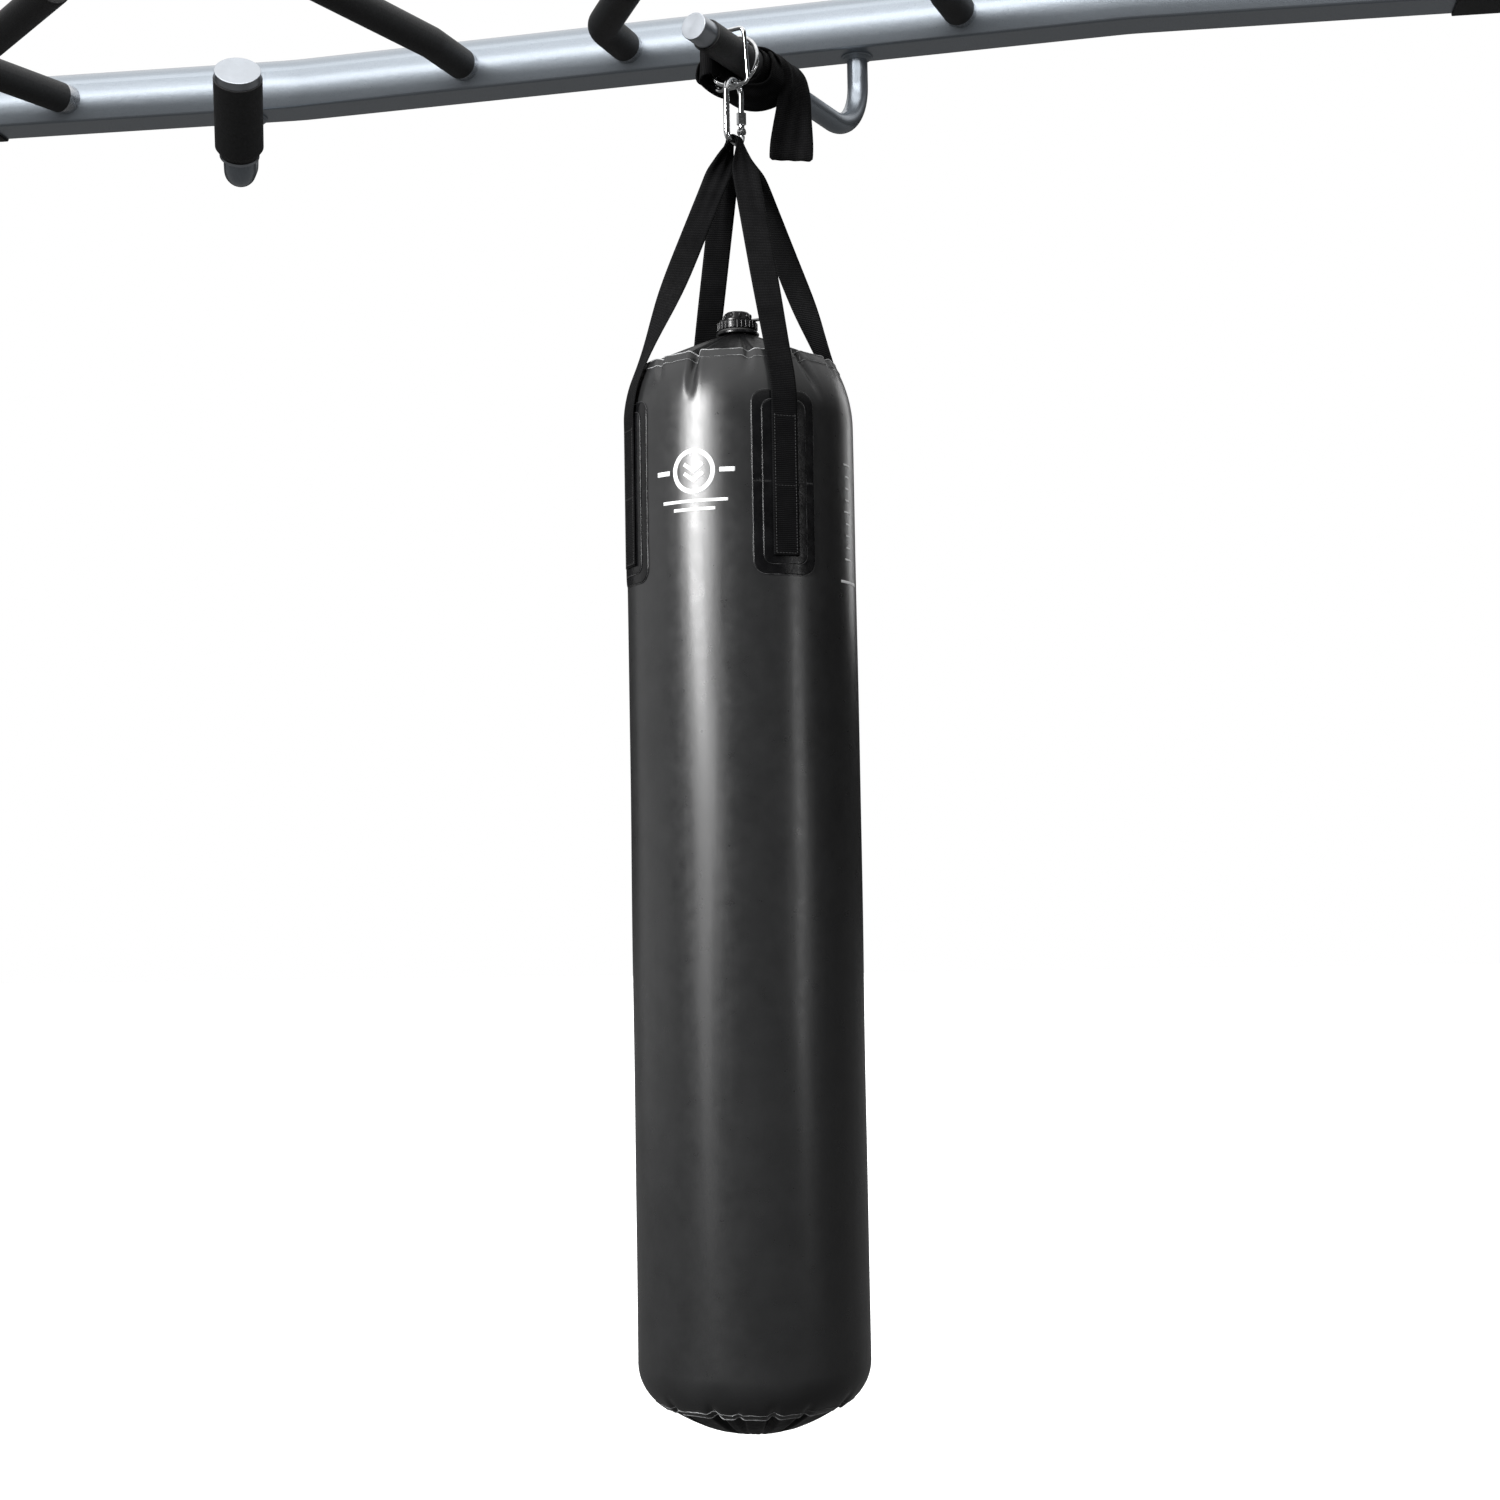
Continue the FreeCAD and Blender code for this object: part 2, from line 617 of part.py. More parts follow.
# ---------------------------------------------------------------- rungs
def rung_parts(name, beam_block):
    """A bent tube with a rubber sleeve, cut back to the beam's front face and welded to it."""
    x, heading, run, bend, second = RUNGS[name]
    face_slope = beam_slope() if x > dim("beam_left_run") else 0.0
    front = dim("beam_depth") / 2 / math.cos(face_slope)
    inset, weld = dim("rung_blank_inset"), dim("rung_weld_length")
    root = Vector(x, beam_line(x) - front, dim("rung_height"))
    angle = math.radians(heading)
    outward = Vector(-math.sin(angle), -math.cos(angle), 0)
    sideways = Vector(math.cos(angle), -math.sin(angle), 0)
    tangent = RUNG_BEND_RADIUS * math.tan(math.radians(abs(bend)) / 2)
    place = axes(root - outward * inset, outward, sideways)
    bends = [(run + inset - tangent, bend, RUNG_BEND_RADIUS), (second - tangent, 0.0, 0.0)]
    long_tube = swept("rung_%s_blank" % name, bends, ["rung_tube_radius", "rung_tube_radius - rung_tube_wall"], place)
    tube = combined("Part::Cut", "rung_%s_tube" % name, (long_tube, beam_block))
    long_ring = swept("rung_%s_weld_blank" % name, [(inset + weld, 0.0, 0.0)],
                      ["rung_weld_radius", "rung_tube_radius + running_gap"], place)
    ring = combined("Part::Cut", "rung_%s_weld" % name, (long_ring, beam_block))
    sleeve_start = weld + 2 * dim("running_gap")
    sleeve = swept("rung_%s_sleeve" % name,
                   [(run - sleeve_start - tangent, bend, RUNG_BEND_RADIUS), (second - tangent, 0.0, 0.0)],
                   ["rung_sleeve_radius", "rung_tube_radius + running_gap"],
                   axes(root + outward * sleeve_start, outward, sideways))
    spot, out = along_bends(bends, place, second - tangent)
    plug = turned("rung_%s_plug" % name, [
        ("0", "-12"), ("rung_tube_radius - rung_tube_wall - running_gap", "-12"),
        ("rung_tube_radius - rung_tube_wall - running_gap", "0.1"),
        ("rung_sleeve_radius", "0.1"), ("rung_sleeve_radius", "2"),
        ("rung_sleeve_radius - 2", "4", "-2"), ("0", "4")], z_along(spot, out))
    return tube, sleeve, ring, plug


def rungs():
    beam_block = beam_sweep("beam_block", [d_section("running_gap")])
    pieces = {name: rung_parts(name, beam_block) for name in RUNGS}
    tubes = [pieces[name][0] for name in RUNGS]
    sleeves = [pieces[name][1] for name in RUNGS]
    welds = combined("Part::Compound", "rung_weld_rings", [pieces[name][2] for name in RUNGS])
    plugs = combined("Part::Compound", "rung_end_plugs", [pieces[name][3] for name in RUNGS])
    return tubes + sleeves + [welds, plugs]


# ---------------------------------------------------------------- rings and carabiner
# Hanger frame: local X points from the grip's tip to its root, local Z up, at the hanging point.
HANGER = axes(HANG_POINT, TIP_DIRECTION * -1.0, Vector(0, 0, 1).cross(TIP_DIRECTION * -1.0))

# Strap frame: the same point, with local X along the sloping grip.
GRIP = axes(HANG_POINT, grip_direction() * -1.0, Vector(0, 0, 1).cross(grip_direction() * -1.0))


def ring_wire(side):
    """A D-ring's centreline in local YZ; side is +1 when its bar is on local -Y (the near side)."""
    half, leg, corner = dim("ring_half_height"), dim("ring_leg"), dim("ring_corner_radius")
    bar = side * -leg
    turn = side * -corner
    quarter = turn * (1 - math.sqrt(0.5))
    low, high = -half, half
    points = [
        Part.LineSegment(Vector(0, bar, low + corner), Vector(0, bar, high - corner)),
        Part.Arc(Vector(0, bar, high - corner), Vector(0, bar - quarter, high - corner * (1 - math.sqrt(0.5))),
                 Vector(0, bar - turn, high)),
        Part.LineSegment(Vector(0, bar - turn, high), Vector(0, 0, high)),
        Part.Arc(Vector(0, 0, high), Vector(0, side * half, 0), Vector(0, 0, low)),
        Part.LineSegment(Vector(0, 0, low), Vector(0, bar - turn, low)),
        Part.Arc(Vector(0, bar - turn, low), Vector(0, bar - quarter, low + corner * (1 - math.sqrt(0.5))),
                 Vector(0, bar, low + corner)),
    ]
    return Part.Wire([edge.toShape() for edge in points])


def steel_rod(wire, radius, start, direction):
    profile = Part.Wire([Part.makeCircle(radius, start, direction)])
    return wire.makePipeShell([profile], True, True)


def d_ring(label, side, centre_y, centre_z, foot_x):
    """A steel wire D-ring, splayed about its foot."""
    start = Vector(0, side * -dim("ring_leg"), 0)
    shape = steel_rod(ring_wire(side), dim("ring_wire_radius"), start, Vector(0, 0, 1))
    half = dim("ring_half_height")
    splay = math.copysign(dim("ring_splay"), foot_x)
    tilt = Placement(Vector(foot_x, 0, centre_z - half), Rotation(Vector(0, 1, 0), splay),
                     Vector(0, 0, 0))
    lift = Placement(Vector(0, centre_y, half), Rotation())
    return shape_feature(label, shape, HANGER.multiply(tilt).multiply(lift))


def clip_points():
    """Named heights of the carabiner, counted from the hanging point."""
    top_centre = dim("clip_bow_level")
    top = top_centre + dim("clip_half_width")
    bottom = top - dim("clip_height")
    return top_centre, top, bottom


def clip_rod(start, end_height):
    """The carabiner's C-shaped centreline, from its nose over the bow to the gate's hinge."""
    half, corner = dim("clip_half_width"), dim("clip_corner_radius")
    top_centre, top, bottom = clip_points()
    diagonal = corner * (1 - math.sqrt(0.5))
    edges = [
        Part.LineSegment(Vector(half, 0, start), Vector(half, 0, top_centre)),
        Part.Arc(Vector(half, 0, top_centre), Vector(0, 0, top), Vector(-half, 0, top_centre)),
        Part.LineSegment(Vector(-half, 0, top_centre), Vector(-half, 0, bottom + corner)),
        Part.Arc(Vector(-half, 0, bottom + corner), Vector(-half + diagonal, 0, bottom + diagonal),
                 Vector(-half + corner, 0, bottom)),
        Part.LineSegment(Vector(-half + corner, 0, bottom), Vector(half - corner, 0, bottom)),
        Part.Arc(Vector(half - corner, 0, bottom), Vector(half - diagonal, 0, bottom + diagonal),
                 Vector(half, 0, bottom + corner)),
        Part.LineSegment(Vector(half, 0, bottom + corner), Vector(half, 0, end_height)),
    ]
    return Part.Wire([edge.toShape() for edge in edges])


def clip_body():
    """The bent rod, with a tongue at the gate's hinge and the pin hole through it."""
    half = dim("clip_half_width")
    nose, hinge = dim("gate_top_level") + 0.6, dim("gate_hinge_level")
    rod = steel_rod(clip_rod(nose, hinge - 5.0), dim("clip_rod_radius"), Vector(half, 0, nose), Vector(0, 0, 1))
    tongue = Part.makeBox(5.6, 2.4, 6.0, Vector(half - 2.8, -1.2, hinge - 6.0))
    round_end = Part.makeCylinder(2.8, 2.4, Vector(half, -1.2, hinge), Vector(0, 1, 0))
    bore = Part.makeCylinder(dim("gate_pin_radius"), 10.0, Vector(half, -5, hinge), Vector(0, 1, 0))
    return rod.fuse([tongue, round_end]).cut(bore).removeSplitter()


def clip_gate():
    """The hollow gate, forked over the tongue at its foot."""
    half, top, hinge = dim("clip_half_width"), dim("gate_top_level"), dim("gate_hinge_level")
    gate = Part.makeCylinder(dim("gate_radius"), top - hinge, Vector(half, 0, hinge))
    knuckle = Part.makeCylinder(4.0, 7.2, Vector(half, -3.6, hinge), Vector(0, 1, 0))
    fork = Part.makeBox(12.0, 2.9, 10.0, Vector(half - 6.0, -1.45, hinge - 5.0))
    hollow = Part.makeCylinder(dim("gate_bore_radius"), 18.0, Vector(half, 0, hinge + 6.0))
    pin_bore = Part.makeCylinder(dim("gate_pin_radius") + dim("running_gap"), 10.0,
                                 Vector(half, -5, hinge), Vector(0, 1, 0))
    return gate.fuse(knuckle).cut(fork).cut(hollow).cut(pin_bore).removeSplitter()


def carabiner():
    half, hinge = dim("clip_half_width"), dim("gate_hinge_level")
    hinge_pin = Part.makeCylinder(dim("gate_pin_radius"), 7.8, Vector(half, -3.9, hinge), Vector(0, 1, 0))
    coil = Part.makeHelix(1.5, 12.0, 1.2)
    section = Part.Wire([Part.makeCircle(0.3, Vector(1.2, 0, 0), Vector(0, 1, 0))])
    spring = Part.Wire(coil.Edges).makePipeShell([section], True, True)
    return [
        shape_feature("carabiner_body", clip_body(), HANGER),
        shape_feature("carabiner_gate", clip_gate(), HANGER),
        shape_feature("carabiner_gate_pin", hinge_pin, HANGER),
        shape_feature("carabiner_gate_spring", spring,
                      HANGER.multiply(Placement(Vector(half, 0, hinge + 6.5), Rotation()))),
        shape_feature("carabiner_lock_sleeve", hex_lock(), HANGER),
    ]


def hex_lock():
    """The six-sided screw sleeve, round at both ends, parked down the gate."""
    half = dim("clip_half_width")
    radius, length = dim("lock_radius"), dim("lock_length")
    low = Vector(half, 0, dim("lock_low_level"))
    corners = [low + Vector(radius * math.cos(math.radians(60 * n)), radius * math.sin(math.radians(60 * n)), 0)
               for n in range(6)]
    hexagon = Part.Face(Part.makePolygon(corners + corners[:1])).extrude(Vector(0, 0, length))
    cone = Part.makeCylinder(radius * 0.96, length, low, Vector(0, 0, 1))
    bore = Part.makeCylinder(dim("gate_radius") + dim("running_gap"), length + 2, low - Vector(0, 0, 1))
    return hexagon.common(cone).cut(bore)


# ---------------------------------------------------------------- anchor strap
def belt(radius_top, radius_low, low_centre, width, start):
    """A closed belt round two circles in the hanger's YZ plane, as a solid of a given width."""
    def outline(grow):
        top, low = radius_top + grow, radius_low + grow
        centre = Vector(0, low_centre[0], low_centre[1])
        gap = centre.Length
        lean = math.asin((top - low) / gap)
        down = math.atan2(centre.z, centre.y)
        points = {}
        for name, side in (("near", -1.0), ("far", 1.0)):
            angle = down + side * (math.pi / 2 - lean)
            points[name] = Vector(0, math.cos(angle), math.sin(angle))
        up = Vector(0, -math.cos(down), -math.sin(down))
        arcs = [
            Part.Arc(points["near"] * top, up * top, points["far"] * top),
            Part.LineSegment(points["far"] * top, centre + points["far"] * low),
            Part.Arc(centre + points["far"] * low, centre - up * low, centre + points["near"] * low),
            Part.LineSegment(centre + points["near"] * low, points["near"] * top),
        ]
        return Part.Face(Part.Wire([edge.toShape() for edge in arcs])).extrude(Vector(width, 0, 0))
    half = dim("anchor_thickness") / 2
    solid = outline(half).cut(outline(-half))
    solid.translate(Vector(start, 0, 0))
    return solid


def strap_tail():
    """The loose end: over the top of the wrap, then hanging down on the near side while it turns."""
    place, radius, width = dim("tail_place"), dim("tail_radius"), dim("anchor_width")
    over, hang = 6, 8
    stations = []
    for step in range(over + 1):
        angle = math.radians(118.0 - 113.0 * step / over)
        stations.append((Vector(place, -radius * math.cos(angle), radius * math.sin(angle)),
                         Vector(1, 0, 0), width))
    for step in range(1, hang + 1):
        part = step / hang
        twist = math.radians(dim("tail_twist") * part)
        stations.append((Vector(place + 4.0 * part, -radius - 9.0 * part, 2.0 - dim("tail_drop") * part),
                         Vector(math.cos(twist), -math.sin(twist), 0), width - 2.0 * part))
    return webbing(stations, dim("anchor_thickness"))


def strap_eye():
    """The sewn eye through both rings, and the doubled neck that leads to the wrap."""
    thick = dim("anchor_thickness")
    start, end, near, far = dim("eye_start"), dim("eye_end"), dim("eye_near"), dim("eye_far")
    low, height = dim("eye_low"), dim("eye_height")
    outer = racetrack(start, end, near, far, low, height)
    inner = racetrack(start + thick, end - thick, near + thick, far - thick, low - 1, height + 2)
    neck = Part.makeBox(14.0, thick, height, Vector(end - 4.0, 27.0, low))
    lug = Part.makeBox(4.0, 9.6, height * 0.6, Vector(dim("wrap_start"), dim("wrap_radius"), low + 2))
    return outer.cut(inner).fuse([neck, lug])


def anchor_strap():
    """Wide webbing wrapped round the grip: an eye through both rings, a slack loop and a tail."""
    wrap = belt(dim("wrap_radius"), dim("loop_radius"), (dim("loop_offset"), dim("loop_level")),
                dim("anchor_width"), dim("wrap_start"))
    bridge = Part.makeBox(20.0, 6.0, 3.0, Vector(66.0, 8.0, 18.4))
    solid = wrap.fuse([strap_eye(), strap_tail(), bridge]).removeSplitter()
    return shape_feature("anchor_strap", solid, GRIP)


def racetrack(x_low, x_high, y_low, y_high, base, height):
    """A flat-sided loop with round ends, standing on a base level."""
    radius = (y_high - y_low) / 2
    middle = (y_high + y_low) / 2
    block = Part.makeBox(x_high - x_low - 2 * radius, 2 * radius, height, Vector(x_low + radius, y_low, base))
    ends = [Part.makeCylinder(radius, height, Vector(x, middle, base), Vector(0, 0, 1))
            for x in (x_low + radius, x_high - radius)]
    return block.fuse(ends).removeSplitter()


# ---------------------------------------------------------------- bag
BAG = Placement(HANG_POINT, Rotation())


def shoulder_at(level, grow=0.0):
    """The side wall's outside radius at a level, offset outwards."""
    high = dim("shoulder_low")
    if level <= high:
        return dim("bag_radius") + grow
    centre = dim("bag_radius") - dim("shoulder_radius")
    reach = dim("shoulder_radius") + grow
    return centre + math.sqrt(reach ** 2 - (level - high) ** 2)


def dome(radius, rise):
    """The radius of a dome centred on the bag's axis, from its rim radius and its rise."""
    return "((%s)^2 + (%s)^2) / (2 * (%s))" % (radius, rise, rise)


def bag_shells():
    inner = "bag_radius - bag_wall"
    seam_x, seam_y = "top_seam_radius - bag_wall * 0.79", "top_seam_level - bag_wall * 0.61"
    top_arc = dome("top_seam_radius", "top_dome_level - top_seam_level")
    hole_level = "top_dome_level - %s + sqrt((%s)^2 - valve_hole_radius^2)" % (top_arc, top_arc)
    rise = "base_seam_level - base_dome_level"
    inner_rim = "base_seam_radius - bag_wall * 0.6"
    fill_rim = "base_seam_radius - 4"
    fill_low = "base_dome_level + bag_wall + fill_gap + 1"
    fill_rise = "base_seam_level + 4 - (%s)" % fill_low
    wall = turned("bag_side_wall", [
        ("bag_radius", "shoulder_low"),
        ("top_seam_radius", "top_seam_level", "-shoulder_radius"),
        (seam_x, seam_y),
        (inner, "shoulder_low", "shoulder_radius - bag_wall"),
        (inner, "heel_high"),
        ("base_seam_radius - bag_wall * 0.6", "base_seam_level + bag_wall * 0.8", "heel_radius - bag_wall"),
        ("base_seam_radius", "base_seam_level"),
        ("bag_radius", "heel_high", "-heel_radius")], BAG)
    top = turned("bag_top_panel", [
        ("valve_hole_radius", hole_level, top_arc),
        ("valve_hole_radius", hole_level + " - bag_wall"),
        (seam_x, seam_y, "-(%s - bag_wall)" % top_arc),
        ("top_seam_radius", "top_seam_level")], BAG)
    base = turned("bag_bottom_panel", [
        ("0", "base_dome_level"), ("base_seam_radius", "base_seam_level", "-%s" % dome("base_seam_radius", rise)),
        (inner_rim, "base_seam_level + bag_wall * 0.8"),
        ("0", "base_dome_level + bag_wall", dome(inner_rim, rise + " - bag_wall * 0.2"))], BAG)
    fill_side = "bag_radius - bag_wall - fill_gap"
    fill = turned("water_fill", [
        ("0", fill_low), (fill_rim, "base_seam_level + 4", "-%s" % dome(fill_rim, fill_rise)),
        (fill_side, "heel_high", "-(heel_radius + 4)"),
        (fill_side, "shoulder_low"),
        ("top_seam_radius + 6", "fill_level", "-shoulder_radius"),
        ("0", "fill_level")], BAG)
    return [wall, top, base, fill]


def ring_band(name, inner_grow, thickness, low, high):
    """A band that follows the bag's wall, from which a patch is cut."""
    grow = "(%s)" % inner_grow
    outer = "(%s + %s)" % (inner_grow, thickness)
    top_out, top_in = ("%.6f" % shoulder_at(high, evaluate(extra)) for extra in (outer, grow))
    return turned(name, [
        ("bag_radius + " + grow, "%.6f" % low),
        ("bag_radius + " + outer, "%.6f" % low),
        ("bag_radius + " + outer, "shoulder_low"),
        (top_out, "%.6f" % high, "-(shoulder_radius + %s)" % outer),
        (top_in, "%.6f" % high),
        ("bag_radius + " + grow, "shoulder_low", "shoulder_radius + " + grow)])


def patch(label, heading, inner_grow, thickness, width, low, high, corner):
    """A rounded rectangle of sheet, lying on the wall at a heading."""
    band = ring_band(label + "_band", inner_grow, thickness, low - 5.0, high + 5.0)
    cutter = doc.addObject("Part::Box", label + "_outline")
    cutter.Length = 60.0
    cutter.setExpression("Width", expand(width))
    cutter.Height = high - low
    cutter.Placement = Placement(Vector(90.0, -evaluate(width) / 2, low), Rotation())
    rounded = doc.addObject("Part::Fillet", label + "_rounded")
    rounded.Base = cutter
    doc.recompute()
    radius = evaluate(corner)
    rounded.Edges = [(n, radius, radius) for n, edge in enumerate(cutter.Shape.Edges, start=1)
                     if abs(edge.tangentAt(0).x) > 0.99]
    feature = combined("Part::MultiCommon", label, [band, rounded])
    turn = Rotation(Vector(0, 0, 1), heading)
    feature.Placement = Placement(HANG_POINT, turn)
    return feature


def patches():
    pieces = []
    low = dim("patch_top") - dim("patch_height")
    margin = dim("backing_margin")
    for name, heading in STRAPS.items():
        pieces.append(patch("patch_%s" % name, heading, "layer_gap", "patch_thickness", "patch_width",
                            low, dim("patch_top"), "patch_corner_radius"))
        pieces.append(patch("patch_backing_%s" % name, heading, "2 * layer_gap + patch_thickness",
                            "backing_thickness", "backing_width", low + margin, dim("patch_top") - margin,
                            "patch_corner_radius - 5"))
    return pieces


def sling_bend(nest):
    """How far a strap's middle runs from the centre of the carabiner's bottom bar."""
    return dim("clip_rod_radius") + 0.6 + dim("strap_thickness") / 2 + nest


def strap_turns(tangential):
    """The strap's width directions at the shoulder, halfway up and at the bar, without a flip."""
    facing = STRAP_FACING * math.copysign(1.0, STRAP_FACING.dot(tangential))
    bar = HANGER.Rotation.multVec(Vector(1, 0, 0))
    return tangential, facing, bar * math.copysign(1.0, bar.dot(facing))


def strap_across(turns, part):
    """The strap's width direction at a part of the way from the shoulder to the bar."""
    first, second = (turns[0], turns[1]) if part < 0.5 else (turns[1], turns[2])
    share = (part if part < 0.5 else part - 0.5) / 0.5
    return (first * (1 - share) + second * share).normalize()


def strap_half(heading, crown_side, nest):
    """Stations of one strap from its sewn end up to the carabiner's bottom bar."""
    turn = math.radians(heading)
    radial = Vector(math.cos(turn), math.sin(turn), 0)
    tangential = Vector(-math.sin(turn), math.cos(turn), 0)
    thick, width = dim("strap_thickness"), dim("strap_width")
    rest = dim("patch_thickness") + dim("backing_thickness") + 3 * dim("layer_gap") + thick / 2 + 0.25
    low = dim("patch_top") - dim("patch_height") + dim("strap_end_inset")
    stations = [(radial * (dim("bag_radius") + rest) + Vector(0, 0, level), tangential, width)
                for level in (low, dim("shoulder_low"))]
    for level in (-418.0, -406.0, -394.0, -384.0, -376.0):
        stations.append((radial * shoulder_at(level, rest + 0.4) + Vector(0, 0, level), tangential, width))
    side = HANGER.Rotation.multVec(Vector(0, crown_side, 0))
    top = side * sling_bend(nest) + Vector(0, 0, clip_points()[2])
    foot = stations[-1][0]
    turns = strap_turns(tangential)
    steps = 14
    for step in range(1, steps + 1):
        part = step / steps
        bunched = width - (width - dim("strap_bunched_width")) * max(0.0, part - 0.8) / 0.2
        stations.append((foot + (top - foot) * part, strap_across(turns, part), bunched))
    return stations


def sling(label, first, second, nest):
    """One long strap: up from its first patch, over the carabiner's bar, down to its second."""
    hanger = HANGER.Rotation
    sides = []
    for name in (first, second):
        turn = math.radians(STRAPS[name])
        radial = Vector(math.cos(turn), math.sin(turn), 0)
        sides.append(math.copysign(1.0, radial.dot(hanger.multVec(Vector(0, 1, 0)))))
    up = strap_half(STRAPS[first], sides[0], nest)
    down = strap_half(STRAPS[second], sides[1], nest)
    bar = up[-1][1]
    crown = []
    steps = 8
    for step in range(1, steps):
        angle = math.pi * step / steps
        outward = hanger.multVec(Vector(0, sides[0] * math.cos(angle), math.sin(angle)))
        crown.append((outward * sling_bend(nest) + Vector(0, 0, clip_points()[2]), bar,
                      dim("strap_bunched_width")))
    flip = math.copysign(1.0, down[-1][1].dot(bar))
    returning = [(middle, across * flip, width) for middle, across, width in reversed(down)]
    solid = webbing(up + crown + returning, dim("strap_thickness"))
    return shape_feature(label, solid, BAG)


# ---------------------------------------------------------------- valve
def seated(outline):
    """An outline whose heights are counted from the valve's seat."""
    return [(corner[0], "valve_seat_level + (%s)" % corner[1]) + tuple(corner[2:]) for corner in outline]


def valve_collar():
    """A knurled ring nut that clamps the seal."""
    blank = turned("valve_collar_blank", seated([
        ("valve_neck_radius + running_gap", "5.8"), ("valve_collar_radius - 1", "5.8"),
        ("valve_collar_radius", "6.8"), ("valve_collar_radius", "13.4"),
        ("valve_collar_radius - 1.2", "14.6"), ("valve_neck_radius + running_gap", "14.6")]), BAG)
    grooves = []
    count = 30
    reach = dim("valve_collar_radius") + 0.35
    low = dim("valve_seat_level") + 4.0
    for number in range(count):
        angle = 2 * math.pi * number / count
        groove = doc.addObject("Part::Cylinder", "collar_groove_%02d" % number)
        groove.Radius = 1.1
        groove.Height = 12.0
        groove.Placement = Placement(
            HANG_POINT + Vector(reach * math.cos(angle), reach * math.sin(angle), low), Rotation())
        grooves.append(groove)
    return combined("Part::Cut", "valve_collar", (blank, combined("Part::Compound", "collar_grooves", grooves)))


def valve():
    base = turned("valve_base", seated([
        ("valve_bore_radius", "-15"), ("valve_neck_radius", "-15"), ("valve_neck_radius", "0"),
        ("valve_flange_radius - 0.8", "0"), ("valve_flange_radius", "0.8"), ("valve_flange_radius", "2.4"),
        ("valve_flange_radius - 1", "3.2"), ("valve_neck_radius", "3.2"), ("valve_neck_radius", "14"),
        ("valve_bore_radius", "14")]), BAG)
    seal = turned("valve_seal_ring", seated([
        ("valve_neck_radius + 0.6", "3.3"), ("valve_neck_radius + 3", "3.3"),
        ("valve_neck_radius + 3", "5.6"), ("valve_neck_radius + 0.6", "5.6")]), BAG)
    cap = turned("valve_cap", seated([
        ("0", "7"), ("valve_bore_radius - 0.1", "7"), ("valve_bore_radius - 0.1", "14.1"),
        ("valve_cap_radius + 2", "14.8"), ("valve_cap_radius + 2", "17.4"),
        ("valve_cap_radius", "18.4"), ("valve_cap_radius - 1", "24.6"), ("valve_cap_radius - 2.6", "26"),
        ("9", "26"), ("8", "23.5"), ("0", "23.5")]), BAG)
    level = dim("valve_seat_level") + 15.1
    loop = Part.makeCylinder(20.6, 1.5, Vector(0, 0, level)).cut(
        Part.makeCylinder(17.2, 3.0, Vector(0, 0, level - 0.6)))
    tab = Part.makeBox(11.0, 8.0, 1.5, Vector(20.0, -4.0, level))
    nose = Part.makeCylinder(4.0, 1.5, Vector(31.0, 0, level))
    tether = shape_feature("valve_cap_tether", loop.fuse([tab, nose]).removeSplitter(),
                           Placement(HANG_POINT, Rotation(Vector(0, 0, 1), -20.0)))
    return [base, seal, valve_collar(), cap, tether]


# ---------------------------------------------------------------- build and write
def build():
    parts = beam_group() + j_handle() + stub_handle() + rungs()
    parts.append(d_ring("ring_front", 1, 0.2, -7.4, -2.75))
    parts.append(d_ring("ring_rear", -1, 3.0, -8.4, 2.75))
    parts += carabiner()
    parts.append(anchor_strap())
    parts += bag_shells() + patches()
    for label, (first, second, nest) in SLINGS.items():
        parts.append(sling(label, first, second, nest))
    parts += valve()
    return parts


def check(parts):
    for feature in doc.Objects:
        if "Invalid" in feature.State or "Error" in feature.State:
            raise RuntimeError("%s failed: %s" % (feature.Name, feature.State))
    for feature in parts:
        if feature.Shape.isNull() or not feature.Shape.isValid() or not feature.Shape.Solids:
            raise RuntimeError("%s has no valid solid" % feature.Label)


pieces = build()
doc.recompute()
check(pieces)
os.makedirs("parts", exist_ok=True)
for piece in pieces:
    piece.Shape.exportStep("parts/%s.step" % piece.Label)
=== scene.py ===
"""Looks of the hanging punching bag and its overhead rig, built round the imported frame.

Shapes are worked out in millimetres from the hanging point, the middle of the handle's grip
where the rings hang, with the row frame's directions. new_piece() turns them into metres.
"""

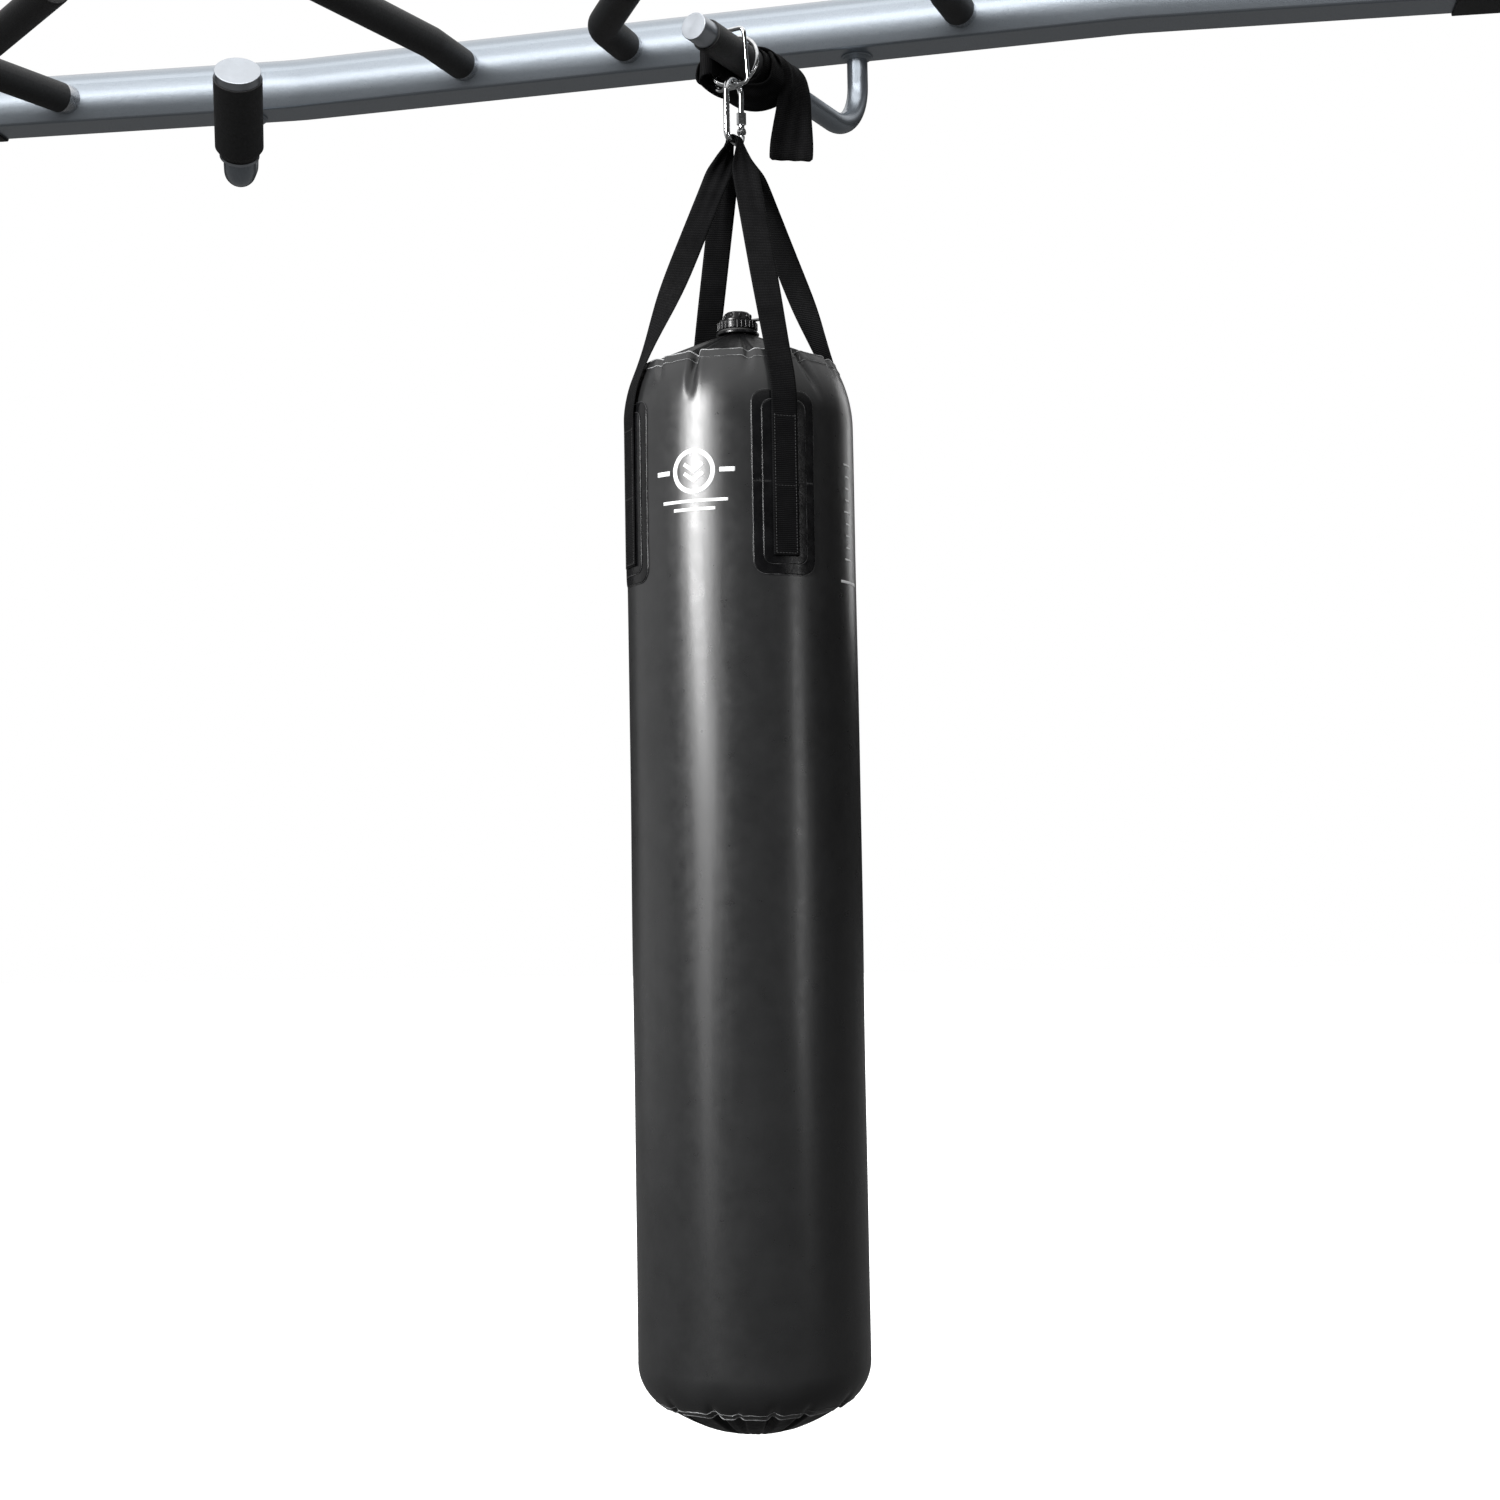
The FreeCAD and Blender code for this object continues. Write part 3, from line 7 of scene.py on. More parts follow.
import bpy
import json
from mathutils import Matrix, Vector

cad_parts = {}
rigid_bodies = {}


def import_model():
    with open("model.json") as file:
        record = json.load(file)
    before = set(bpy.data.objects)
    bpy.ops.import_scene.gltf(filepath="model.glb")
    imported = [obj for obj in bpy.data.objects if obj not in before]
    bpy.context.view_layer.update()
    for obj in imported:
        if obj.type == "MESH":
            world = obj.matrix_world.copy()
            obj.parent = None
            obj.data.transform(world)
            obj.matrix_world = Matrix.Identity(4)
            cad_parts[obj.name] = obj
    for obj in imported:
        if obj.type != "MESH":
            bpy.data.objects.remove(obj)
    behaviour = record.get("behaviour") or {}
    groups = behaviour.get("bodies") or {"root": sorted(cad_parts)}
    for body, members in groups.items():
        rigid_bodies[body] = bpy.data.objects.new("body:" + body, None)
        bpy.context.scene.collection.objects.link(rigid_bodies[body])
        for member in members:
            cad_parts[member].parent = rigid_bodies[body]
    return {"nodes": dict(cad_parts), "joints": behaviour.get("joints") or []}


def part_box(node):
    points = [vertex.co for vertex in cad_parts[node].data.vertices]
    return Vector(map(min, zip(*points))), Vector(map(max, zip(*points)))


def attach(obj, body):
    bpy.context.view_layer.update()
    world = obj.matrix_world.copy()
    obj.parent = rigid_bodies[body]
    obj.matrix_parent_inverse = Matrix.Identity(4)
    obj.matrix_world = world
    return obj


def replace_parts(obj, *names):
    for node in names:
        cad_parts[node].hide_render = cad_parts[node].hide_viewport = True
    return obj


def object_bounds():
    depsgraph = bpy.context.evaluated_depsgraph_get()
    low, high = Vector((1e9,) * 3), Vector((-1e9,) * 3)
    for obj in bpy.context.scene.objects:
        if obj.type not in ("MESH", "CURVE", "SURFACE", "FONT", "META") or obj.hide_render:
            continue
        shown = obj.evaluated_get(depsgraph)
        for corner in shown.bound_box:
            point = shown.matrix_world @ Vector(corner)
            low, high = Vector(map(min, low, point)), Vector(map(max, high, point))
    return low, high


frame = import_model()

import fnmatch
import json
import math
import random

import bpy
import numpy as np
from mathutils import Matrix, Vector

cad_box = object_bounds()
MM = 0.001
NODES = frame["nodes"]
JOINTS = {joint["name"]: joint for joint in frame["joints"]}
HANG_POINT = np.array(JOINTS["ring_swing"]["pos_m"])
rng = random.Random(7)


def in_hang_frame(point):
    """A row-frame point in metres, as millimetres from the hanging point."""
    return (np.array(point) - HANG_POINT) / MM


def hang_box(node):
    """The low and high corners of a node's box, in millimetres from the hanging point."""
    return [in_hang_frame(corner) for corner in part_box(node)]


def unit(vector):
    vector = np.array(vector, float)
    return vector / np.linalg.norm(vector)


def heading(degrees):
    """The level unit vector at an angle from +X towards +Y."""
    angle = math.radians(degrees)
    return np.array((math.cos(angle), math.sin(angle), 0.0))


UP = np.array((0.0, 0.0, 1.0))

# Driving sizes of the bag, from the boxes of its CAD nodes.
wall_low, wall_high = hang_box("bag_side_wall")
BASE_LEVEL = hang_box("bag_bottom_panel")[0][2]
BAG_RADIUS = (wall_high[0] - wall_low[0]) / 2
TOP_SEAM = wall_high[2]
BASE_SEAM = wall_low[2]
SHOULDER_HEIGHT = 70.0
SHOULDER_LOW = TOP_SEAM - SHOULDER_HEIGHT
SHOULDER_RADIUS = 141.7
HEEL_RADIUS = 49.8
HEEL_HEIGHT = 44.0
HEEL_HIGH = BASE_SEAM + HEEL_HEIGHT
BASE_SEAM_RADIUS = 100.0
TOP_SEAM_RADIUS = 108.0
TOP_DOME_LEVEL = -321.5
VALVE_HOLE = 18.0
WALL_THICKNESS = 1.2
WELD_BAND = 10.0

SHOULDER_ANGLE = math.asin(SHOULDER_HEIGHT / SHOULDER_RADIUS)
HEEL_ANGLE = math.asin(HEEL_HEIGHT / HEEL_RADIUS)
SHOULDER_ARC = SHOULDER_RADIUS * SHOULDER_ANGLE
STRAIGHT = SHOULDER_LOW - HEEL_HIGH
HEEL_ARC = HEEL_RADIUS * HEEL_ANGLE
WALL_LENGTH = SHOULDER_ARC + STRAIGHT + HEEL_ARC

# Where the four straps reach the bag, as headings in degrees.
STRAPS = {"front_right": -60.0, "rear_right": 30.0, "rear_left": 120.0, "front_left": 210.0}

# Folds pressed into the wall by the seams: heading, lean (degrees sideways per 10 mm along the
# fold), depth, length and half width in millimetres.
TOP_FOLDS = (
    (-106.5, 0, 9.5, 64, 4.6), (-76, -0.3, 5, 36, 5), (-48, 1.8, 7, 60, 3.8),
    (-20, 0.4, 3.5, 26, 5), (12, -0.6, 4.5, 34, 5), (44, 1.2, 5, 42, 5),
    (78, 0, 6, 38, 5.5), (106, -0.6, 4, 30, 4.5), (134, 1.4, 4.5, 40, 5),
    (165, 0.3, 5, 30, 5.5), (192, -0.4, 4.5, 34, 5), (228, 1.5, 4, 36, 4.5),
)
BASE_FOLDS = (
    (-135, 1, 4, 36, 4.5), (-105.6, 0, 5, 34, 5), (-92, 0.3, 3.2, 24, 4),
    (-71.5, -0.5, 5, 34, 5), (-51, -0.6, 3.6, 32, 4.5), (-22, -0.8, 4.4, 36, 5),
    (2, 0.4, 4, 28, 4.5), (24, -0.5, 5, 34, 5), (51, 0.4, 3.5, 26, 4.5),
    (75, 0, 4.6, 32, 5), (99, 0.7, 4.2, 30, 4.5), (121, -0.4, 5, 36, 5),
    (150, 0.5, 4, 28, 4.5), (174, -0.6, 4.6, 34, 5), (203, 0.3, 3.6, 26, 4),
)


# ---- mesh helpers
def placed(name, data):
    """An object of the scene for a mesh, light or camera."""
    thing = bpy.data.objects.new(name, data)
    bpy.context.scene.collection.objects.link(thing)
    return thing


def new_piece(name, points, faces, body, slot, finish=None, uv=None):
    """A mesh object from points in millimetres, riding on a body, with the slot's finish or a named one."""
    mesh = bpy.data.meshes.new(name)
    rows = np.asarray(points, float).reshape(-1, 3) * MM + HANG_POINT
    mesh.from_pydata(rows.tolist(), [], faces)
    if uv is not None:
        layer = mesh.uv_layers.new(name="weave")
        per_vertex = np.asarray(uv, float).reshape(-1, 2)
        corners = np.zeros(len(mesh.loops), int)
        mesh.loops.foreach_get("vertex_index", corners)
        layer.data.foreach_set("uv", per_vertex[corners].ravel())
    mesh.shade_smooth()
    mesh.materials.append(MATERIALS[finish or slot])
    piece = placed(name, mesh)
    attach(piece, body)
    return piece


def grid_faces(rows, columns, ring=False, loop=False):
    """Quads between rows of points; ring closes each row, loop joins the last row to the first."""
    faces = []
    for row in range(rows if loop else rows - 1):
        this, following = row * columns, (row + 1) % rows * columns
        for column in range(columns if ring else columns - 1):
            after = (column + 1) % columns
            faces.append((this + column, this + after, following + after, following + column))
    return faces


def end_caps(rows, columns):
    """One face over the first row of points and one over the last."""
    return [tuple(range(columns))[::-1], tuple(range((rows - 1) * columns, rows * columns))]


def resample(stations, spacing):
    """Evenly spaced rows along a Catmull-Rom curve through rows of numbers; the first three are the point."""
    rows = np.asarray(stations, float)
    padded = np.vstack((2 * rows[0] - rows[1], rows, 2 * rows[-1] - rows[-2]))
    fine = []
    for index in range(len(padded) - 3):
        before, start, end, after = padded[index:index + 4]
        for part in np.linspace(0.0, 1.0, 16, endpoint=False):
            fine.append(0.5 * (2 * start + (end - before) * part
                               + (2 * before - 5 * start + 4 * end - after) * part ** 2
                               + (3 * start - before - 3 * end + after) * part ** 3))
    fine.append(padded[-2])
    fine = np.array(fine)
    lengths = np.concatenate(([0.0], np.cumsum(np.linalg.norm(np.diff(fine[:, :3], axis=0), axis=1))))
    count = max(2, int(lengths[-1] / spacing) + 1)
    even = np.linspace(0.0, lengths[-1], count)
    columns = [np.interp(even, lengths, fine[:, column]) for column in range(fine.shape[1])]
    return np.stack(columns, axis=1), even


WEB_SPACING = 2.5


def ribbon(stations, thickness, relief, across_count=13):
    """Webbing through (centre, across, width) stations: points, faces and weave coordinates.

    relief(u, v) lifts the web by millimetres, where u runs -1..1 over the width and v along it.
    """
    rows = [np.concatenate((centre, across, (width,))) for centre, across, width in stations]
    even, along = resample(rows, WEB_SPACING)
    runs = np.gradient(even[:, :3], axis=0)
    inset = thickness * 0.45
    points, uv = [], []
    columns = 2 * across_count + 2
    for row, run, place in zip(even, runs, along):
        centre, across, half = row[:3], unit(row[3:6]), row[6] / 2
        outward = unit(np.cross(across, run))
        spread = np.linspace(-(half - inset), half - inset, across_count)
        lane = [(-half, 0.0)] + [(u, 0.5) for u in spread] + [(half, 0.0)] + [(u, -0.5) for u in spread[::-1]]
        for u, side in lane:
            lift = relief(u / half, place)
            points.append(centre + across * u + outward * (side * thickness + lift))
            uv.append((u * MM, place * MM))
    faces = grid_faces(len(even), columns, ring=True)
    for first, flip in ((0, 1), ((len(even) - 1) * columns, -1)):
        faces.append((first, first + 1, first + columns - 1)[::-flip])
        for k in range(1, across_count):
            quad = (first + k, first + k + 1, first + columns - k - 1, first + columns - k)
            faces.append(quad[::-flip])
        faces.append((first + across_count, first + across_count + 1, first + across_count + 2)[::-flip])
    return points, faces, uv


def tube(path, radii, sides=8, closed=False):
    """A round cord along points, with a radius at each, closed at its ends or on itself."""
    path = np.asarray(path, float)
    if closed:
        tangents = np.roll(path, -1, axis=0) - np.roll(path, 1, axis=0)
    else:
        tangents = np.gradient(path, axis=0)
    guide = np.cross(tangents[0], UP if abs(unit(tangents[0])[2]) < 0.9 else (1.0, 0.0, 0.0))
    points = []
    for centre, tangent, radius in zip(path, tangents, radii):
        along = unit(tangent)
        side = unit(guide - along * np.dot(along, guide))
        other = np.cross(along, side)
        guide = side
        for step in range(sides):
            angle = 2 * math.pi * step / sides
            points.append(centre + (side * math.cos(angle) + other * math.sin(angle)) * radius)
    faces = grid_faces(len(path), sides, ring=True, loop=closed)
    return points, faces if closed else faces + end_caps(len(path), sides)


def joined(parts):
    """Several (points, faces) meshes as one."""
    points, faces = [], []
    for some_points, some_faces in parts:
        start = len(points)
        points.extend(some_points)
        faces.extend(tuple(index + start for index in face) for face in some_faces)
    return points, faces


# ---- materials
# Noise stretch: the same in all directions, or drawn out upward.
EVEN = (1.0, 1.0, 1.0)
UPRIGHT = (1.0, 1.0, 0.12)


def link(tree, source, target):
    tree.links.new(source, target)


def add_node(tree, kind, inputs=None, **settings):
    """A shader node with its settings made and its inputs linked or filled."""
    node = tree.nodes.new(kind)
    for name, value in settings.items():
        setattr(node, name, value)
    for name, value in (inputs or {}).items():
        if isinstance(value, bpy.types.NodeSocket):
            tree.links.new(value, node.inputs[name])
        else:
            node.inputs[name].default_value = value
    return node


def coordinates(tree, stretch=EVEN):
    """Object coordinates in metres, scaled for each direction."""
    source = add_node(tree, "ShaderNodeTexCoord").outputs["Object"]
    return add_node(tree, "ShaderNodeMapping", {"Vector": source, "Scale": stretch}).outputs["Vector"]


def noise(tree, per_metre, detail=3.0, stretch=EVEN):
    """Soft noise with so many cells in a metre."""
    inputs = {"Vector": coordinates(tree, stretch), "Scale": per_metre, "Detail": detail, "Roughness": 0.55}
    return add_node(tree, "ShaderNodeTexNoise", inputs).outputs["Fac"]


def scaled(tree, value, low, high, from_low=0.3, from_high=0.7):
    """A value carried from one range to another and clamped."""
    inputs = {"Value": value, "From Min": from_low, "From Max": from_high, "To Min": low, "To Max": high}
    return add_node(tree, "ShaderNodeMapRange", inputs).outputs["Result"]


def math_node(tree, operation, first, second=0.0):
    return add_node(tree, "ShaderNodeMath", {0: first, 1: second}, operation=operation).outputs["Value"]


def wave(tree, value, pitch):
    """A sine of a length in metres, one full turn in each pitch."""
    return math_node(tree, "SINE", math_node(tree, "MULTIPLY", value, 2 * math.pi / pitch))


def mixed(tree, share, first, second):
    """A colour between two, by a share."""
    node = add_node(tree, "ShaderNodeMix", data_type="RGBA")
    tree.links.new(share, node.inputs["Factor"])
    node.inputs["A"].default_value = (*first, 1.0)
    node.inputs["B"].default_value = (*second, 1.0)
    return node.outputs["Result"]


def bumped(tree, height, depth, normal=None):
    """A normal tilted by a height field whose full range is depth metres."""
    inputs = {"Height": height, "Distance": depth, "Strength": 1.0}
    if normal:
        inputs["Normal"] = normal
    return add_node(tree, "ShaderNodeBump", inputs).outputs["Normal"]


def surface(name, first, second, share_scale, roughness, bumps, settings):
    """A procedural surface: two colours mixed by noise, roughness over a range and bump layers.

    roughness is (low, high, noise per metre); each bump is (noise per metre, depth, stretch);
    settings are other inputs of the shader.
    """
    material = bpy.data.materials.new(name)
    material.use_nodes = True
    tree = material.node_tree
    shader = tree.nodes["Principled BSDF"]
    share = scaled(tree, noise(tree, share_scale), 0.0, 1.0)
    link(tree, mixed(tree, share, first, second), shader.inputs["Base Color"])
    low, high, rough_scale = roughness
    link(tree, scaled(tree, noise(tree, rough_scale, detail=4.0), low, high), shader.inputs["Roughness"])
    normal = None
    for per_metre, depth, stretch in bumps:
        normal = bumped(tree, noise(tree, per_metre, stretch=stretch), depth, normal)
    if normal:
        link(tree, normal, shader.inputs["Normal"])
    for label, value in settings.items():
        shader.inputs[label].default_value = value
    return material


def make_webbing():
    """Black ribbed polyester: ribs across the web, crossed by warp threads, from its weave coordinates. The
    colour has a painted highlight on the rib crests and painted shade in the hollows between them, mixed with
    noise for uneven fibre tone.
    """
    material = surface("webbing", (0.006, 0.006, 0.0065), (0.014, 0.014, 0.015), 60.0, (0.55, 0.8, 300.0),
                       (), {"Specular IOR Level": 0.06})
    tree = material.node_tree
    shader = tree.nodes["Principled BSDF"]
    weave = add_node(tree, "ShaderNodeUVMap", uv_map="weave").outputs["UV"]
    split = add_node(tree, "ShaderNodeSeparateXYZ", {"Vector": weave})
    rib_pitch, warp_pitch = 0.0021, 0.0026
    shift = math_node(tree, "MULTIPLY", noise(tree, 260.0), 1.6)
    turns = math_node(tree, "MULTIPLY", split.outputs["Y"], 2 * math.pi / rib_pitch)
    rib = math_node(tree, "SINE", math_node(tree, "ADD", shift, turns))
    crossing = math_node(tree, "MULTIPLY", rib, wave(tree, split.outputs["X"], warp_pitch))
    height = math_node(tree, "ADD", rib, math_node(tree, "MULTIPLY", crossing, 0.45))
    share = scaled(tree, height, 0.0, 1.0, -1.2, 1.2)
    # Painted highlight and painted shade: the higher each point of a rib, the closer its colour moves to the
    # lighter fibre colour, so crests look lit and hollows look shaded.
    crest_highlight_share = math_node(tree, "POWER", share, 2.2)
    fibre_tone_and_crest_highlight = mixed(tree, math_node(tree, "MULTIPLY", crest_highlight_share, scaled(tree, noise(tree, 45.0), 0.35, 1.0)),
                  (0.001, 0.001, 0.0012), (0.014, 0.014, 0.0146))
    link(tree, fibre_tone_and_crest_highlight, shader.inputs["Base Color"])
    fuzz = bumped(tree, noise(tree, 1800.0), 0.00008)
    link(tree, bumped(tree, share, 0.00035, fuzz), shader.inputs["Normal"])
    return material


def middle_of(node):
    low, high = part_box(node)
    return (low + high) / 2


def make_turned(name, node, axis):
    """Aluminium with fine turning rings about the axis through a node's middle."""
    tint = (0.50, 0.53, 0.57)
    darker = [0.93 * share for share in tint]
    material = surface(name, darker, tint, 90.0, (0.30, 0.36, 500.0), (), {"Metallic": 1.0})
    tree = material.node_tree
    kind = "ShaderNodeVectorMath"
    offset = add_node(tree, kind, {0: coordinates(tree), 1: middle_of(node)}, operation="SUBTRACT")
    crossed = add_node(tree, kind, {0: offset.outputs["Vector"], 1: axis}, operation="CROSS_PRODUCT")
    reach = add_node(tree, kind, {0: crossed.outputs["Vector"]}, operation="LENGTH")
    ring_pitch = 0.0007
    rings = wave(tree, reach.outputs["Value"], ring_pitch)
    grain = bumped(tree, noise(tree, 900.0), 0.000008)
    link(tree, bumped(tree, rings, 0.00001, grain), tree.nodes["Principled BSDF"].inputs["Normal"])
    return material


tip_axis = unit(JOINTS["ring_swing"]["axis"])
stub_axis = unit(middle_of("stub_handle_end_cap") - middle_of("stub_handle_collar"))

# Each surface as surface() takes it.
SURFACES = {
    "rig_paint": ((0.29, 0.325, 0.365), (0.33, 0.365, 0.405), 700.0, (0.26, 0.36, 1500.0),
                  ((120.0, 0.00012, EVEN), (2600.0, 0.00003, EVEN)),
                  {"Metallic": 0.78, "Coat Weight": 0.35, "Coat Roughness": 0.18}),
    "weld_steel": ((0.45, 0.46, 0.48), (0.66, 0.67, 0.69), 400.0, (0.2, 0.42, 600.0),
                   ((450.0, 0.0003, EVEN),), {"Metallic": 1.0}),
    "grip_rubber": ((0.010, 0.0105, 0.011), (0.020, 0.0205, 0.022), 300.0, (0.5, 0.72, 700.0),
                    ((900.0, 0.00022, EVEN), (2600.0, 0.00012, EVEN)), {}),
    "chrome_steel": ((0.58, 0.59, 0.60), (0.80, 0.81, 0.82), 160.0, (0.05, 0.14, 500.0),
                     ((260.0, 0.00010, EVEN),), {"Metallic": 1.0}),
    "black_screw": ((0.02, 0.02, 0.022), (0.05, 0.05, 0.052), 800.0, (0.35, 0.55, 900.0),
                    ((1500.0, 0.00005, EVEN),), {"Metallic": 0.7}),
    "patch_vinyl": ((0.002, 0.002, 0.0023), (0.005, 0.005, 0.0055), 45.0, (0.20, 0.32, 110.0),
                    ((55.0, 0.0005, EVEN), (900.0, 0.00006, EVEN)), {"Specular IOR Level": 0.25}),
    "bag_vinyl": ((0.0135, 0.0137, 0.0141), (0.0175, 0.0177, 0.0182), 26.0, (0.27, 0.33, 70.0),
                  ((14.0, 0.0010, UPRIGHT), (1100.0, 0.00004, EVEN)), {}),
    "panel_vinyl": ((0.002, 0.002, 0.0023), (0.004, 0.004, 0.0043), 40.0, (0.28, 0.42, 200.0),
                    ((60.0, 0.0008, EVEN), (1000.0, 0.00005, EVEN)), {"Specular IOR Level": 0.10}),
    "weld_edge": ((0.17, 0.172, 0.176), (0.42, 0.425, 0.43), 240.0, (0.18, 0.4, 500.0),
                  ((800.0, 0.0002, EVEN),), {}),
    "patch_edge": ((0.008, 0.008, 0.009), (0.07, 0.07, 0.072), 160.0, (0.2, 0.4, 400.0),
                   ((600.0, 0.0003, EVEN),), {}),
    "water": ((0.55, 0.72, 0.80), (0.62, 0.78, 0.86), 20.0, (0.02, 0.05, 30.0),
              ((30.0, 0.0006, EVEN),), {"Transmission Weight": 0.9, "IOR": 1.33}),
    "seal_rubber": ((0.02, 0.02, 0.02), (0.03, 0.03, 0.03), 500.0, (0.6, 0.8, 700.0),
                    ((1500.0, 0.00005, EVEN),), {}),
    "valve_plastic": ((0.004, 0.004, 0.0045), (0.007, 0.007, 0.0075), 200.0, (0.18, 0.34, 300.0),
                      ((220.0, 0.00018, EVEN),), {"Specular IOR Level": 0.3}),
    "thread": ((0.012, 0.012, 0.0125), (0.04, 0.04, 0.041), 900.0, (0.5, 0.7, 900.0),
               ((2500.0, 0.0001, EVEN),), {}),
    "print_ink": ((0.72, 0.73, 0.74), (0.86, 0.86, 0.86), 120.0, (0.38, 0.5, 400.0),
                  ((900.0, 0.00004, EVEN),), {}),
}
MATERIALS = {name: surface(name, *look) for name, look in SURFACES.items()}
MATERIALS["webbing"] = make_webbing()
MATERIALS["j_cap"] = make_turned("j_cap_aluminium", "j_handle_end_cap", tip_axis)
MATERIALS["stub_cap"] = make_turned("stub_cap_aluminium", "stub_handle_end_cap", stub_axis)
MATERIALS["stub_collar"] = make_turned("stub_collar_aluminium", "stub_handle_collar", stub_axis)

NODE_MATERIALS = {
    "rig_paint": ("overhead_beam", "left_flange_plate", "right_flange_plate", "j_handle_flange",
                  "j_handle_tube", "stub_handle_flange", "stub_handle_tube"),
    "grip_rubber": ("j_handle_grip", "stub_handle_grip", "rung_?_sleeve", "rung_?_tube",
                    "rung_end_plugs", "left_end_socket", "right_end_socket"),
    "weld_steel": ("rung_weld_rings",),
    "chrome_steel": ("ring_front", "ring_rear", "carabiner_body", "carabiner_gate", "carabiner_gate_pin",
                     "carabiner_gate_spring", "carabiner_lock_sleeve"),
    "black_screw": ("socket_screws",),
    "valve_plastic": ("valve_base", "valve_collar", "valve_cap", "valve_cap_tether"),
    "seal_rubber": ("valve_seal_ring",),
    "j_cap": ("j_handle_end_cap",),
    "stub_cap": ("stub_handle_end_cap",),
    "stub_collar": ("stub_handle_collar",),
}


def finish_nodes():
    """Gives each CAD node that stays in view its procedural material."""
    for name, patterns in NODE_MATERIALS.items():
        for pattern in patterns:
            for node in fnmatch.filter(NODES, pattern):
                mesh = NODES[node].data
                mesh.materials.clear()
                mesh.materials.append(MATERIALS[name])


# ---- bag skin
def wall_profile(distance):
    """Radius, level and outward normal (radial, vertical) of the wall at distances from the top seam."""
    distance = np.asarray(distance, float)
    shoulder = SHOULDER_ANGLE - distance / SHOULDER_RADIUS
    heel = (distance - SHOULDER_ARC - STRAIGHT) / HEEL_RADIUS
    angle = np.where(shoulder > 0, shoulder, np.where(heel > 0, -heel, 0.0))
    arc = np.where(shoulder > 0, SHOULDER_RADIUS, HEEL_RADIUS)
    radius = BAG_RADIUS - arc * (1 - np.cos(angle))
    straight = SHOULDER_LOW - (distance - SHOULDER_ARC)
    level = np.where(shoulder > 0, SHOULDER_LOW + SHOULDER_RADIUS * np.sin(angle),
                     np.where(heel > 0, HEEL_HIGH + HEEL_RADIUS * np.sin(angle), straight))
    return radius, level, np.cos(angle), np.sin(angle)


def fold_depth(folds, azimuth, distance, seam_radius):
    """How far the folds of one seam press a point in, at a distance from that seam."""
    total = np.zeros(np.broadcast(azimuth, distance).shape)
    for centre, lean, depth, length, half_width in folds:
        away = (azimuth - centre - lean * distance / 10.0 + 180.0) % 360.0 - 180.0
        side = np.radians(away) * seam_radius / half_width
        share = np.clip(1 - distance / length, 0.0, 1.0)
        fade = share * share * (3 - 2 * share)
        valley = np.exp(-side ** 2)
        shoulders = 0.38 * np.exp(-(side / 2.1) ** 2)
        total += depth * fade * (valley * 1.3 - shoulders)
    return total


def ripple(azimuth, level):
    """Broad unevenness of a filled sheet, in millimetres."""
    turn = np.radians(azimuth)
    return (0.35 * np.sin(3 * turn + level / 190.0) + 0.25 * np.sin(5 * turn - level / 120.0 + 1.3)
            + 0.16 * np.sin(8 * turn + level / 75.0 + 0.4) + 0.10 * np.sin(2 * turn + level / 41.0))


def wall_point(azimuth, distance, grow):
    """Points on the filled bag's side wall, from heading in degrees and distance from the top seam."""
    azimuth, distance = np.broadcast_arrays(np.asarray(azimuth, float), np.asarray(distance, float))
    radius, level, out, up = wall_profile(distance)
    pressed = fold_depth(TOP_FOLDS, azimuth, distance, TOP_SEAM_RADIUS)
    pressed = pressed + fold_depth(BASE_FOLDS, azimuth, WALL_LENGTH - distance, BASE_SEAM_RADIUS)
    lift = grow - pressed + ripple(azimuth, level)
    turn = np.radians(azimuth)
    reach = radius + out * lift
    return np.stack((reach * np.cos(turn), reach * np.sin(turn), level + up * lift), axis=-1)


def wall_rows():
    """Distances from the top seam: close together by the seams, wider along the middle."""
    near = np.linspace(0.0, 66.0, 45)
    middle = np.linspace(66.0, WALL_LENGTH - 60.0, 121)[1:-1]
    low = np.linspace(WALL_LENGTH - 60.0, WALL_LENGTH, 41)
    return np.concatenate((near, middle, low))


AROUND = 400
azimuths = np.arange(AROUND) * 360.0 / AROUND


def band_step(distance):
    """The wall is 0.5 mm thicker where it is welded to a panel, in a band beside each seam."""
    edge = np.minimum(distance, WALL_LENGTH - distance)
    return 0.5 * np.clip((WELD_BAND + 1.0 - edge) / 1.0, 0.0, 1.0)


def bag_wall():
    rows = wall_rows()
    outer = wall_point(azimuths[None, :], rows[:, None], band_step(rows)[:, None])
    inner = wall_point(azimuths[None, :], rows[::-1, None], -WALL_THICKNESS)
    skin = np.concatenate((outer, inner))
    faces = [face[::-1] for face in grid_faces(len(skin), AROUND, ring=True, loop=True)]
    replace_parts(new_piece("bag_wall_skin", skin, faces, "bag", "bag_vinyl"), "bag_side_wall")


def end_panel(name, node, edge, centre_radius, centre_level, bulge, folds, seam_radius):
    """A welded end panel: rings from just under the wall's edge to the middle, creased near the seam."""
    turn = np.radians(azimuths)
    rings = 34
    skin = []
    edge_radius = np.hypot(edge[:, 0], edge[:, 1])
    edge_level = edge[:, 2].mean()
    upward = math.copysign(1.0, centre_level - edge_level)
    for ring in range(rings + 1):
        part = ring / rings
        radius = edge_radius * (1 - part) + centre_radius * part
        inward = seam_radius * part
        level = edge[:, 2] * (1 - part) + centre_level * part + bulge(part)
        crease = fold_depth(folds, azimuths, np.full(AROUND, inward * 0.55), seam_radius) * (1 - part) * 0.45
        level = level - upward * crease * min(1.0, part * 12.0)
        skin.append(np.stack((radius * np.cos(turn), radius * np.sin(turn), level), axis=-1))
    outer = np.array(skin)
    inner = outer[::-1].copy()
    inner[..., 2] -= upward * WALL_THICKNESS
    both = np.concatenate((outer, inner))
    faces = grid_faces(len(both), AROUND, ring=True, loop=True)
    if upward < 0:
        faces = [face[::-1] for face in faces]
    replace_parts(new_piece(name, both, faces, "bag", "bag_vinyl", "panel_vinyl"), node)


